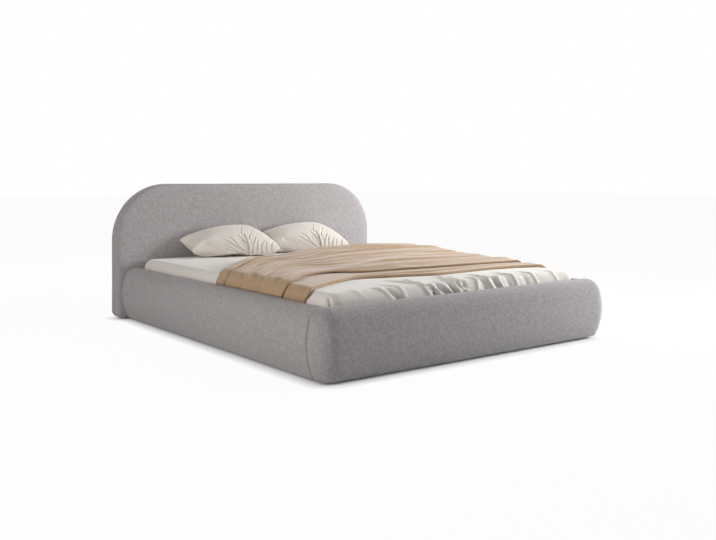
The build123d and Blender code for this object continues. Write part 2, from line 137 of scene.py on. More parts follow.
def rounded_outline(half: float, low: float, high: float, radii: Pair, steps: int) -> list[Flat]:
    """A closed outline with its corners rounded, the lower pair first.

    Args:
        half: Half its width.
        low: Its lower edge.
        high: Its upper edge.
        radii: The radius of the two lower corners and of the two upper ones.
        steps: The number of parts in a corner.

    Returns:
        The points, counter-clockwise from the lower left corner.
    """
    lower, upper = radii
    points = arc((-half + lower, low + lower), lower, 180, 90, steps)
    points += arc((half - lower, low + lower), lower, 270, 90, steps)
    points += arc((half - upper, high - upper), upper, 0, 90, steps)
    points += arc((-half + upper, high - upper), upper, 90, 90, steps)
    return points


def add_loop(bm: bmesh.types.BMesh, points: Sequence[Point]) -> list[bmesh.types.BMEdge]:
    """Add a closed loop of edges through points.

    Args:
        bm: The mesh.
        points: The places, in order.

    Returns:
        The loop's edges.
    """
    verts = [bm.verts.new(point) for point in points]
    return [bm.edges.new(pair) for pair in zip(verts, verts[1:] + verts[:1])]


def bridge_all(bm: bmesh.types.BMesh, rings: Sequence[Sequence[Point]]) -> list[list[bmesh.types.BMEdge]]:
    """Skin a row of rings that all have the same number of points.

    Args:
        bm: The mesh.
        rings: The rings, from one end to the other.

    Returns:
        The edges of each ring.
    """
    loops = [add_loop(bm, ring) for ring in rings]
    for near, far in zip(loops, loops[1:]):
        bmesh.ops.bridge_loops(bm, edges=near + far)
    return loops


def slice_evenly(bm: bmesh.types.BMesh, axis: Axis, pitch: float) -> None:
    """Cut a mesh with evenly spaced planes, so that it can bend softly.

    Args:
        bm: The mesh.
        axis: The axis that the planes are square to.
        pitch: About how far apart they are.
    """
    places = [vert.co[axis.value] for vert in bm.verts]
    low, high = min(places), max(places)
    count = max(round((high - low) / pitch), 2)
    for index in range(1, count):
        place = axis.unit * (low + (high - low) * index / count)
        geometry = bm.verts[:] + bm.edges[:] + bm.faces[:]
        bmesh.ops.bisect_plane(bm, geom=geometry, plane_co=place, plane_no=axis.unit)


def soften(bm: bmesh.types.BMesh, depth: float, size: float, seed: float) -> None:
    """Let a padded surface rise and fall a little.

    Args:
        bm: The mesh.
        depth: The most that a point moves along its normal.
        size: The size of the swells.
        seed: Where in the pattern the piece lies.
    """
    bmesh.ops.recalc_face_normals(bm, faces=bm.faces)
    bm.normal_update()
    shift = Vector((seed, 2 * seed, 3 * seed))
    swells = [0.5 + 0.5 * noise.noise(vert.co / size + shift) for vert in bm.verts]
    moves = [depth * swell * vert.normal for swell, vert in zip(swells, bm.verts)]
    for vert, move in zip(bm.verts, moves):
        vert.co += move


def map_cloth(bm: bmesh.types.BMesh) -> None:
    """Give every face the metres of the side that it faces as its cloth map.

    Args:
        bm: The mesh.
    """
    layer = bm.loops.layers.uv.verify()
    for face in bm.faces:
        normal = [abs(share) for share in face.normal]
        away = normal.index(max(normal))
        across, up = [index for index in range(3) if index != away]
        for loop in face.loops:
            loop[layer].uv = (loop.vert.co[across], loop.vert.co[up])


def add_piece(
    bm: bmesh.types.BMesh,
    name: str,
    material: bpy.types.Material,
    mapped: bool = False,
) -> bpy.types.Object:
    """Finish a mesh and put it in the scene.

    Args:
        bm: The mesh, which is freed.
        name: The piece's name.
        material: What it is made of.
        mapped: Whether the mesh already has its own cloth map.

    Returns:
        The new object, at the origin.
    """
    bmesh.ops.remove_doubles(bm, verts=bm.verts, dist=MERGE_DISTANCE)
    bmesh.ops.recalc_face_normals(bm, faces=bm.faces)
    for face in bm.faces:
        face.smooth = True
    for edge in bm.edges:
        edge.smooth = edge.calc_face_angle(0.0) < SHARP_ANGLE
    if not mapped:
        map_cloth(bm)
    mesh = bpy.data.meshes.new(name)
    bm.to_mesh(mesh)
    bm.free()
    mesh.materials.append(material)
    piece = bpy.data.objects.new(name, mesh)
    bpy.context.scene.collection.objects.link(piece)
    return piece


def add_wall(piece: bpy.types.Object, thickness: float, offset: float = -1.0) -> None:
    """Give a skin its thickness.

    Args:
        piece: The skin.
        thickness: How thick the cloth is.
        offset: -1 to grow inwards, 1 to grow outwards, 0 for both.
    """
    wall = piece.modifiers.new("wall", "SOLIDIFY")
    wall.thickness = thickness
    wall.offset = offset


# Finishes


class NodeBench:
    """Adds nodes to a tree, sets their inputs and joins them."""

    def __init__(self, tree: bpy.types.NodeTree) -> None:
        """Start on a tree."""
        self.tree = tree

    def add(self, kind: str, inputs: dict | None = None, **settings: object) -> bpy.types.Node:
        """Add one node.

        Args:
            kind: The node's type.
            inputs: Values or sockets, by the input's name or number.
            **settings: Properties of the node.

        Returns:
            The node.
        """
        node = self.tree.nodes.new(kind)
        for name, value in settings.items():
            setattr(node, name, value)
        for key, value in (inputs or {}).items():
            if isinstance(value, bpy.types.NodeSocket):
                self.tree.links.new(value, node.inputs[key])
            else:
                node.inputs[key].default_value = value
        return node

    def math(self, operation: str, *values: object) -> bpy.types.NodeSocket:
        """Add a Math node and return its result."""
        inputs = dict(enumerate(values))
        return self.add("ShaderNodeMath", inputs, operation=operation).outputs[0]

    def mix(self, share: object, first: object, second: object) -> bpy.types.NodeSocket:
        """Add a colour mix and return its result."""
        inputs = {0: share, 6: first, 7: second}
        return self.add("ShaderNodeMix", inputs, data_type="RGBA").outputs[2]

    def noise(self, place: object, scale: object, detail: float = 2.0) -> bpy.types.NodeSocket:
        """Add a noise pattern and return its value."""
        inputs = {"Vector": place, "Scale": scale, "Detail": detail, "Roughness": NOISE_ROUGHNESS}
        return self.add("ShaderNodeTexNoise", inputs).outputs[0]

    def stretch(self, place: object, factors: Point) -> bpy.types.NodeSocket:
        """Scale a place along its three axes and return it."""
        inputs = {0: place, 1: factors}
        return self.add("ShaderNodeVectorMath", inputs, operation="MULTIPLY").outputs[0]


class Effect:
    """A shader effect that several materials share, built once as a node group."""

    def __init__(self, name: str, inputs: dict[str, str], outputs: dict[str, str]) -> None:
        """Make the group with its sockets.

        Args:
            name: The group's name.
            inputs: Each input's name and socket type.
            outputs: Each output's name and socket type.
        """
        self.tree = bpy.data.node_groups.new(name, "ShaderNodeTree")
        for label, kind in inputs.items():
            self.tree.interface.new_socket(label, in_out="INPUT", socket_type=kind)
        for label, kind in outputs.items():
            self.tree.interface.new_socket(label, in_out="OUTPUT", socket_type=kind)
        self.bench = NodeBench(self.tree)
        self.inputs = self.bench.add("NodeGroupInput").outputs
        self.result = self.bench.add("NodeGroupOutput")

    def give(self, label: str, socket: bpy.types.NodeSocket) -> None:
        """Send a socket to one of the group's outputs."""
        self.tree.links.new(socket, self.result.inputs[label])


VECTOR = "NodeSocketVector"
FLOAT = "NodeSocketFloat"
COLOR = "NodeSocketColor"


def heather_effect() -> Effect:
    """A woven cloth of mixed light and dark yarn, a little nubby.

    Returns:
        The effect, with the colour and height of the cloth.
    """
    slub_stretch, slub_gain, fleck_detail, fleck_gain = 0.3, 1.2, 1.5, 1.5
    thread_tint, thread_relief = 0.10, 0.18
    middle = 0.5
    inputs = {"Place": VECTOR, "Cloth": VECTOR, "Light": COLOR, "Dark": COLOR}
    inputs |= {"Fleck": FLOAT, "Thread": FLOAT}
    effect = Effect("heather", inputs, {"Colour": COLOR, "Height": FLOAT})
    bench, given = effect.bench, effect.inputs
    fleck = bench.noise(given["Place"], given["Fleck"], fleck_detail)
    warp = bench.noise(bench.stretch(given["Cloth"], (1.0, slub_stretch, 1.0)), given["Fleck"])
    weft = bench.noise(bench.stretch(given["Cloth"], (slub_stretch, 1.0, 1.0)), given["Fleck"])
    threads = plain_weave(bench, given["Cloth"], given["Thread"])
    slubs = bench.math("SUBTRACT", bench.math("ADD", warp, weft), 1.0)
    centred = bench.math("SUBTRACT", fleck, middle)
    contrast = bench.math("MULTIPLY_ADD", centred, fleck_gain, middle)
    slubbed = bench.math("MULTIPLY_ADD", slubs, slub_gain, contrast)
    woven = bench.math("MULTIPLY_ADD", threads, thread_tint, slubbed)
    share = bench.add("ShaderNodeClamp", {0: woven}).outputs[0]
    effect.give("Colour", bench.mix(share, given["Dark"], given["Light"]))
    effect.give("Height", bench.math("MULTIPLY_ADD", threads, thread_relief, slubbed))
    return effect


def plain_weave(bench: NodeBench, cloth: object, thread: object) -> bpy.types.NodeSocket:
    """A plain weave's height, from -1 to 1.

    Args:
        bench: The tree's bench.
        cloth: The place on the cloth, in metres.
        thread: The threads in a metre.

    Returns:
        The height.
    """
    scaled = bench.add("ShaderNodeVectorMath", {0: cloth, "Scale": thread}, operation="SCALE").outputs[0]
    parts = bench.add("ShaderNodeSeparateXYZ", {0: scaled}).outputs
    warp = bench.math("SINE", bench.math("MULTIPLY", parts[0], math.pi))
    weft = bench.math("SINE", bench.math("MULTIPLY", parts[1], math.pi))
    return bench.math("MULTIPLY", warp, weft)


def linen_effect() -> Effect:
    """A plain-woven cloth with slubs along both threads.

    Returns:
        The effect, with the colour and height of the cloth.
    """
    slub_stretch, slubs_per_metre, slub_gain, slub_shift, thread_relief = 0.05, 420.0, 1.6, -1.1, 0.3
    inputs = {"Cloth": VECTOR, "Base": COLOR, "Slub": COLOR, "Thread": FLOAT}
    effect = Effect("linen", inputs, {"Colour": COLOR, "Height": FLOAT})
    bench, given = effect.bench, effect.inputs
    threads = plain_weave(bench, given["Cloth"], given["Thread"])
    warp = bench.noise(bench.stretch(given["Cloth"], (slub_stretch, 1.0, 1.0)), slubs_per_metre)
    weft = bench.noise(bench.stretch(given["Cloth"], (1.0, slub_stretch, 1.0)), slubs_per_metre)
    slubs = bench.math("MULTIPLY_ADD", bench.math("ADD", warp, weft), slub_gain, slub_shift)
    share = bench.add("ShaderNodeClamp", {0: slubs}).outputs[0]
    effect.give("Colour", bench.mix(share, given["Slub"], given["Base"]))
    effect.give("Height", bench.math("MULTIPLY_ADD", threads, thread_relief, slubs))
    return effect


def grain_effect() -> Effect:
    """Wood grain that runs along the first axis of its place.

    Returns:
        The effect, with the colour and height of the wood.
    """
    grain_stretch, slope, sways_per_metre, sway_reach = 0.06, 0.7, 6.0, 0.12
    fibres_per_metre, fibre_share, ring_share = 620.0, 0.7, 0.3
    inputs = {"Place": VECTOR, "Early": COLOR, "Late": COLOR, "Rings": FLOAT}
    effect = Effect("grain", inputs, {"Colour": COLOR, "Height": FLOAT})
    bench, given = effect.bench, effect.inputs
    drawn = bench.stretch(given["Place"], (grain_stretch, 1.0, 1.0))
    sway = bench.noise(drawn, sways_per_metre)
    parts = bench.add("ShaderNodeSeparateXYZ", {0: given["Place"]}).outputs
    across = bench.math("ADD", parts[1], bench.math("MULTIPLY", parts[2], slope))
    bent = bench.math("MULTIPLY_ADD", sway, sway_reach, across)
    rings = bench.math("SINE", bench.math("MULTIPLY", bent, given["Rings"]))
    fibre = bench.noise(drawn, fibres_per_metre)
    mixed = bench.math("MULTIPLY_ADD", fibre, fibre_share, bench.math("MULTIPLY", rings, ring_share))
    share = bench.add("ShaderNodeClamp", {0: mixed}).outputs[0]
    effect.give("Colour", bench.mix(share, given["Early"], given["Late"]))
    effect.give("Height", mixed)
    return effect


def speckle_effect() -> Effect:
    """The fine uneven skin of foam, coated steel or moulded plastic.

    Returns:
        The effect, with a share from 0 to 1.
    """
    fine_detail, fine_share, clouds_per_metre, cloud_share = 3.0, 0.6, 9.0, 0.4
    effect = Effect("speckle", {"Place": VECTOR, "Size": FLOAT}, {"Share": FLOAT})
    bench, given = effect.bench, effect.inputs
    fine = bench.math("MULTIPLY", bench.noise(given["Place"], given["Size"], fine_detail), fine_share)
    clouds = bench.noise(given["Place"], clouds_per_metre)
    effect.give("Share", bench.math("MULTIPLY_ADD", clouds, cloud_share, fine))
    return effect


@dataclass(frozen=True)
class Effects:
    """The shared effects."""

    heather: Effect
    linen: Effect
    grain: Effect
    speckle: Effect


def new_material(name: str) -> tuple[bpy.types.Material, NodeBench, bpy.types.Node]:
    """Start a material.

    Args:
        name: The finish's name.

    Returns:
        The material, its bench and its Principled shader.
    """
    material = bpy.data.materials.new(name)
    material.use_nodes = True
    tree = material.node_tree
    shader = next(node for node in tree.nodes if node.type == "BSDF_PRINCIPLED")
    return material, NodeBench(tree), shader


def apply_effect(
    bench: NodeBench,
    shader: bpy.types.Node,
    effect: Effect,
    values: dict,
    strength: float,
    distance: float,
) -> bpy.types.Node:
    """Place an effect in a material, with its height as relief.

    Args:
        bench: The material's bench.
        shader: Its Principled shader.
        effect: The effect.
        values: The group's inputs.
        strength: How strong the relief is.
        distance: The height that the relief stands for.

    Returns:
        The group node.
    """
    group = bench.add("ShaderNodeGroup", node_tree=effect.tree)
    for label, value in values.items():
        if isinstance(value, bpy.types.NodeSocket):
            bench.tree.links.new(value, group.inputs[label])
        else:
            group.inputs[label].default_value = value
    relief = bench.add(
        "ShaderNodeBump",
        {"Strength": strength, "Distance": distance, "Height": group.outputs[-1]},
    )
    bench.tree.links.new(relief.outputs[0], shader.inputs["Normal"])
    if "Colour" in group.outputs:
        bench.tree.links.new(group.outputs["Colour"], shader.inputs["Base Color"])
    return group


@dataclass(frozen=True)
class HeatherFinish:
    """The nubby woven cloth of the frame."""

    name: str
    light: Colour
    dark: Colour
    flecks_per_metre: float
    threads_per_metre: float
    roughness: float = 0.92
    sheen: float = 0.12
    relief: float = 0.6
    relief_height: float = 0.0011
    sheen_roughness: float = 0.5
    specular: float = 0.2

    def material(self, effects: Effects) -> bpy.types.Material:
        """Make the material.

        Args:
            effects: The shared effects.

        Returns:
            The material.
        """
        material, bench, shader = new_material(self.name)
        source = bench.add("ShaderNodeTexCoord").outputs
        values = {
            "Place": source["Object"],
            "Cloth": source["UV"],
            "Light": self.light,
            "Dark": self.dark,
            "Fleck": self.flecks_per_metre,
            "Thread": self.threads_per_metre,
        }
        apply_effect(bench, shader, effects.heather, values, self.relief, self.relief_height)
        shader.inputs["Roughness"].default_value = self.roughness
        shader.inputs["Sheen Weight"].default_value = self.sheen
        shader.inputs["Sheen Roughness"].default_value = self.sheen_roughness
        shader.inputs["Specular IOR Level"].default_value = self.specular
        return material


@dataclass(frozen=True)
class LinenFinish:
    """A plain-woven bed cloth."""

    name: str
    base: Colour
    slub: Colour
    threads_per_metre: float
    sheen: float = 0.15
    roughness: float = 0.85
    relief: float = 0.35
    relief_height: float = 0.0006
    sheen_roughness: float = 0.34
    specular: float = 0.25

    def material(self, effects: Effects) -> bpy.types.Material:
        """Make the material.

        Args:
            effects: The shared effects.

        Returns:
            The material.
        """
        material, bench, shader = new_material(self.name)
        source = bench.add("ShaderNodeTexCoord").outputs
        values = {
            "Cloth": source["UV"],
            "Base": self.base,
            "Slub": self.slub,
            "Thread": self.threads_per_metre,
        }
        apply_effect(bench, shader, effects.linen, values, self.relief, self.relief_height)
        shader.inputs["Roughness"].default_value = self.roughness
        shader.inputs["Sheen Weight"].default_value = self.sheen
        shader.inputs["Sheen Roughness"].default_value = self.sheen_roughness
        shader.inputs["Specular IOR Level"].default_value = self.specular
        return material


@dataclass(frozen=True)
class WoodFinish:
    """Sawn or veneered wood."""

    name: str
    early: Colour
    late: Colour
    along: Axis
    rings_per_metre: float = 620.0
    roughness: float = 0.6
    relief: float = 0.25
    relief_height: float = 0.0004

    def material(self, effects: Effects) -> bpy.types.Material:
        """Make the material.

        Args:
            effects: The shared effects.

        Returns:
            The material.
        """
        material, bench, shader = new_material(self.name)
        source = bench.add("ShaderNodeTexCoord").outputs["Object"]
        right_angle = math.pi / 2
        turns = {Axis.X: (0, 0, 0), Axis.Y: (0, 0, -right_angle), Axis.Z: (0, right_angle, 0)}
        turned = bench.add("ShaderNodeMapping", {"Vector": source, "Rotation": turns[self.along]})
        values = {
            "Place": turned.outputs[0],
            "Early": self.early,
            "Late": self.late,
            "Rings": self.rings_per_metre,
        }
        apply_effect(bench, shader, effects.grain, values, self.relief, self.relief_height)
        shader.inputs["Roughness"].default_value = self.roughness
        return material


@dataclass(frozen=True)
class SpeckledFinish:
    """Foam, coated steel, zinc or moulded plastic: one colour with a fine skin."""

    name: str
    low: Colour
    high: Colour
    size: float
    roughness: float
    metallic: float = 0.0
    relief: float = 0.2
    relief_height: float = 0.0003

    def material(self, effects: Effects) -> bpy.types.Material:
        """Make the material.

        Args:
            effects: The shared effects.

        Returns:
            The material.
        """
        material, bench, shader = new_material(self.name)
        source = bench.add("ShaderNodeTexCoord").outputs["Object"]
        values = {"Place": source, "Size": self.size}
        group = apply_effect(bench, shader, effects.speckle, values, self.relief, self.relief_height)
        tint = bench.mix(group.outputs["Share"], self.low, self.high)
        bench.tree.links.new(tint, shader.inputs["Base Color"])
        shader.inputs["Roughness"].default_value = self.roughness
        shader.inputs["Metallic"].default_value = self.metallic
        return material


Finish = HeatherFinish | LinenFinish | WoodFinish | SpeckledFinish

UPHOLSTERY = HeatherFinish("upholstery_heather", srgb(174, 169, 169), srgb(151, 146, 146), 100.0, 420.0)
SHEET_LINEN = LinenFinish("sheet_percale", srgb(234, 228, 221), srgb(223, 216, 208), 1600.0, 0.32)
PILLOW_LINEN = LinenFinish("pillow_percale", srgb(230, 223, 215), srgb(219, 211, 202), 1600.0, 0.36)
THROW_LINEN = LinenFinish("throw_weave", srgb(185, 157, 128), srgb(166, 138, 108), 900.0, 0.42)
TICKING = LinenFinish("mattress_ticking", srgb(232, 230, 226), srgb(216, 214, 210), 700.0)
PINE_ACROSS = WoodFinish("slat_pine", srgb(222, 192, 150), srgb(196, 158, 112), Axis.X)
PINE_ALONG = WoodFinish("beam_pine", srgb(220, 190, 148), srgb(192, 154, 108), Axis.Y)
PINE_UPRIGHT = WoodFinish("post_pine", srgb(220, 190, 148), srgb(192, 154, 108), Axis.Z)
BOARD = WoodFinish("plywood", srgb(206, 178, 138), srgb(182, 150, 110), Axis.X, 240.0)
FOAM = SpeckledFinish("foam", srgb(226, 216, 178), srgb(240, 232, 200), 900.0, 0.95, 0.0, 0.6, 0.0008)
LINING = SpeckledFinish("lining_felt", srgb(34, 34, 35), srgb(52, 52, 53), 1400.0, 0.95, 0.0, 0.5, 0.0004)
WEBBING = HeatherFinish("webbing", srgb(226, 223, 214), srgb(188, 184, 174), 500.0, 700.0)
COATED_STEEL = SpeckledFinish("coated_steel", srgb(28, 28, 30), srgb(44, 44, 46), 1800.0, 0.5)
ZINC = SpeckledFinish("zinc", srgb(168, 170, 172), srgb(196, 198, 200), 400.0, 0.34, 1.0, 0.1)
GLIDE_PLASTIC = SpeckledFinish("glide_plastic", srgb(24, 24, 25), srgb(34, 34, 35), 2200.0, 0.45)


# Upholstered frame


@dataclass(frozen=True)
class BarrelSection:
    """The padded section of the rails and the footboard, out from its inner face and up."""

    thickness: float
    base: float
    top: float
    side_radius: float = 0.330
    bulge_height: float = 0.165
    crown_radius: float = 0.075
    toe_radius: float = 0.015
    edge_radius: float = 0.020
    small_steps: int = 6
    large_steps: int = 14

    def _round(self, radius: float, height: float) -> Flat:
        """The centre of a round that runs into the barrel side.

        Args:
            radius: The round's radius.
            height: How high its centre is.

        Returns:
            The centre, out and up.
        """
        rise = height - self.bulge_height
        run = math.sqrt((self.side_radius - radius) ** 2 - rise**2)
        return self.thickness - self.side_radius + run, height

    def outer_side(self, inset: float = 0.0) -> list[Flat]:
        """Points up the outer side, from the foot of the toe to the top of the crown.

        Args:
            inset: How far the section is drawn in.

        Returns:
            The points, out and up.
        """
        side = (self.thickness - self.side_radius, self.bulge_height)
        toe = self._round(self.toe_radius, self.base + self.toe_radius)
        crown = self._round(self.crown_radius, self.top - self.crown_radius)
        low = math.degrees(math.atan2(toe[1] - side[1], toe[0] - side[0]))
        high = math.degrees(math.atan2(crown[1] - side[1], crown[0] - side[0]))
        points = arc(toe, self.toe_radius - inset, -90, low + 90, self.small_steps)
        points += arc(side, self.side_radius - inset, low, high - low, self.large_steps)[1:]
        points += arc(crown, self.crown_radius - inset, high, 90 - high, self.large_steps)[1:]
        return points

    def outline(self, inset: float = 0.0) -> list[Flat]:
        """The whole closed section.

        Args:
            inset: How far the section is drawn in.

        Returns:
            The points, out and up.
        """
        edge = (self.edge_radius, self.top - self.edge_radius)
        inner = arc(edge, self.edge_radius - inset, 90, 90, self.small_steps)
        return self.outer_side(inset) + inner + [(inset, self.base + inset)]

    def inner_reach(self, height: float) -> float:
        """How far the inner face stands back, where its top is rounded.

        Args:
            height: The height on the face.

        Returns:
            How far back it stands there.
        """
        rise = height - (self.top - self.edge_radius)
        if rise <= 0:
            return 0.0
        return self.edge_radius - math.sqrt(max(self.edge_radius**2 - rise**2, 0.0))


@dataclass(frozen=True)
class Padding:
    """How a padded cover gives: its swells, its slices and its cloth."""

    swell: float = 0.0016
    swell_size: float = 0.21
    slice_pitch: float = 0.022
    cloth_thickness: float = 0.0022
    seed: float = 1.0

    def relax(self, bm: bmesh.types.BMesh, axes: Sequence[Axis]) -> None:
        """Slice a cover and let it swell.

        Args:
            bm: The cover's mesh.
            axes: The axes to slice it along.
        """
        for axis in axes:
            slice_evenly(bm, axis, self.slice_pitch)
        soften(bm, self.swell, self.swell_size, self.seed)


def quarter_round(radius: float, steps: int) -> list[Flat]:
    """How far along and how far inset a rounded rim is, from its start to its end."""
    return [(back, radius - out) for out, back in arc((0.0, 0.0), radius, 0, 90, steps)]


@dataclass
class SideRail:
    """The cloth cover of one side rail."""

    side: Side
    cloth: bpy.types.Material
    end_radius: float = 0.012
    end_steps: int = 6
    foot_gap: float = 0.0035

    def build(self) -> bpy.types.Object:
        """Model the cover and put it in the CAD cover's place.

        Returns:
            The cover.
        """
        node = f"side_rail_{self.side.word}_cover"
        low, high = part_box(node)
        inner, outer = sorted((abs(low[0]), abs(high[0])))
        section = BarrelSection(outer - inner, low[2], high[2])
        rim = quarter_round(self.end_radius, self.end_steps)
        foot = low[1] + self.foot_gap + self.end_radius
        stations = [(foot - run, inset) for run, inset in reversed(rim)]
        stations += [(high[1] - self.end_radius + run, inset) for run, inset in rim]
        sign = self.side.value
        rings = [
            [(sign * (inner + out), y, up) for out, up in section.outline(inset)] for y, inset in stations
        ]
        bm = bmesh.new()
        loops = bridge_all(bm, rings)
        bmesh.ops.holes_fill(bm, edges=loops[0] + loops[-1])
        Padding(seed=4.0 + sign).relax(bm, (Axis.Y,))
        cover = add_piece(bm, f"side_rail_{self.side.word}_upholstery", self.cloth)
        add_wall(cover, Padding.cloth_thickness)
        place_cover(cover, node)
        return cover


def place_cover(cover: bpy.types.Object, node: str) -> None:
    """Let a cloth cover stand for the CAD cover it replaces.

    Args:
        cover: The cloth cover.
        node: The CAD cover's name.
    """
    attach(cover, FRAME_BODY)
    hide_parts(node)


@dataclass
class Footboard:
    """The cloth cover of the footboard, which turns both corners."""

    cloth: bpy.types.Material
    corner_radius: float = 0.090
    end_radius: float = 0.009
    end_steps: int = 4
    corner_steps: int = 12

    def _plan(self, section: BarrelSection, out: float, up: float, inner: float, face: float) -> list[Flat]:
        """The footboard's outline at one height, seen from above.

        Args:
            section: Its barrel section.
            out: How far out the barrel side is at this height.
            up: The height.
            inner: Where the rails' inner faces are.
            face: Where the footboard's inner face is.

        Returns:
            The points, from the right end's inner corner round to the left one's.
        """
        drawn = section.thickness - self.corner_radius
        corner = (inner + drawn, face - drawn)
        round_radius = out - drawn
        back = face - section.inner_reach(up)
        soft = min(self.end_radius, round_radius)
        edge = corner[0] + round_radius
        right = arc((edge - soft, back - soft), soft, 90, -90, self.end_steps)
        right += arc(corner, round_radius, 0, -90, self.corner_steps)
        return right + [(-x, y) for x, y in reversed(right)]

    def build(self) -> bpy.types.Object:
        """Model the cover and put it in the CAD cover's place.

        Returns:
            The cover.
        """
        low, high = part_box("footboard_cover")
        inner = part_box("side_rail_right_cover")[0][0]
        section = BarrelSection(high[1] - low[1], low[2], high[2])
        rings = []
        for out, up in section.outer_side():
            plan = self._plan(section, out, up, inner, high[1])
            rings.append([(x, y, up) for x, y in plan])
        bm = bmesh.new()
        loops = bridge_all(bm, rings)
        bmesh.ops.holes_fill(bm, edges=loops[0] + loops[-1])
        Padding(seed=9.0).relax(bm, (Axis.X,))
        cover = add_piece(bm, "footboard_upholstery", self.cloth)
        add_wall(cover, Padding.cloth_thickness)
        place_cover(cover, "footboard_cover")
        return cover


@dataclass
class Headboard:
    """The cloth cover of the headboard: a side band, a seam and a padded front."""

    cloth: bpy.types.Material
    shoulder_radius: float = 0.340
    foot_radius: float = 0.040
    least_radius: float = 0.006
    corner_steps: int = 18
    crown_width: float = 0.048
    crown_depth: float = 0.016
    crown_steps: int = 9
    seam_depth: float = 0.0022
    seam_width: float = 0.004
    back_radius: float = 0.014
    back_steps: int = 5
    back_hem: float = 0.028

    def _stations(self, front: float, back: float) -> list[Flat]:
        """Where each ring of the cover lies, and how far it is drawn in.

        Args:
            front: The front of the padding.
            back: The back of the cover.

        Returns:
            The places along Y and the insets, from the back opening to the front.
        """
        stations = [(back, self.back_hem)]
        for run, inset in reversed(quarter_round(self.back_radius, self.back_steps)):
            stations.append((back - self.back_radius + run, inset))
        seam = front + self.crown_depth + self.seam_width / 2
        stations += [(seam + self.seam_width / 2, 0.0), (seam, self.seam_depth)]
        for index in range(self.crown_steps + 1):
            turn = math.pi / 2 * index / self.crown_steps
            inset = self.crown_width * (1 - math.cos(turn))
            stations.append((front + self.crown_depth * (1 - math.sin(turn)), inset))
        return stations

    def build(self) -> bpy.types.Object:
        """Model the cover and put it in the CAD cover's place.

        Returns:
            The cover.
        """
        low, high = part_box("headboard_cover")
        rings = []
        for y, inset in self._stations(low[1], high[1]):
            radii = (max(self.foot_radius - inset, self.least_radius), self.shoulder_radius - inset)
            edges = (high[0] - inset, low[2] + inset, high[2] - inset)
            outline = rounded_outline(*edges, radii, self.corner_steps)
            rings.append([(x, y, z) for x, z in outline])
        bm = bmesh.new()
        loops = bridge_all(bm, rings)
        bmesh.ops.holes_fill(bm, edges=loops[-1])
        Padding(seed=15.0).relax(bm, (Axis.X, Axis.Z))
        cover = add_piece(bm, "headboard_upholstery", self.cloth)
        add_wall(cover, Padding.cloth_thickness)
        place_cover(cover, "headboard_cover")
        return cover


# Mattress and bedding


@dataclass
class Mattress:
    """The mattress, with rounded edges and corners."""

    ticking: bpy.types.Material
    corner_radius: float = 0.060
    edge_radius: float = 0.052
    edge_steps: int = 8
    corner_steps: int = 8
    foot_slack: float = 0.015
    slice_pitch: float = 0.05

    def _rings(self, low: Sequence[float], high: Sequence[float]) -> list[list[Point]]:
        """The rings of the mattress from its underside to its top.

        Args:
            low: The lowest corner of its CAD solid.
            high: The highest corner.

        Returns:
            The rings.
        """
        rim = quarter_round(self.edge_radius, self.edge_steps)
        stations = [(low[2] + self.edge_radius - run, inset) for run, inset in reversed(rim)]
        stations += [(high[2] - self.edge_radius + run, inset) for run, inset in rim]
        rings = []
        for z, inset in stations:
            radius = self.corner_radius - inset
            foot = low[1] + self.foot_slack + inset
            edges = (high[0] - inset, foot, high[1] - inset)
            outline = rounded_outline(*edges, (radius, radius), self.corner_steps)
            rings.append([(x, y, z) for x, y in outline])
        return rings

    def build(self) -> bpy.types.Object:
        """Model the mattress and put it in the CAD mattress's place.

        Returns:
            The mattress.
        """
        low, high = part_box("mattress")
        bm = bmesh.new()
        loops = bridge_all(bm, self._rings(low, high))
        bmesh.ops.holes_fill(bm, edges=loops[0] + loops[-1])
        for axis in (Axis.X, Axis.Y):
            slice_evenly(bm, axis, self.slice_pitch)
        piece = add_piece(bm, "mattress_core", self.ticking)
        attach(piece, FRAME_BODY)
        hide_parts("mattress")
        return piece


def smooth_curve(points: np.ndarray, steps: int = 12) -> np.ndarray:
    """Join points by a smooth curve that passes through them.

    Args:
        points: The points, one a row.
        steps: The parts between two points.

    Returns:
        The curve's points, the last one included.
    """
    before_all = 2 * points[0] - points[1]
    after_all = 2 * points[-1] - points[-2]
    knots = np.concatenate([[before_all], points, [after_all]])
    shares = np.linspace(0, 1, steps, endpoint=False)[:, None]
    runs = []
    for before, first, second, after in zip(knots, knots[1:], knots[2:], knots[3:]):
        slope = (second - before) * shares
        bend = (2 * before - 5 * first + 4 * second - after) * shares**2
        twist = (3 * first - before - 3 * second + after) * shares**3
        runs.append((2 * first + slope + bend + twist) / 2)
    return np.concatenate([*runs, points[-1:]])


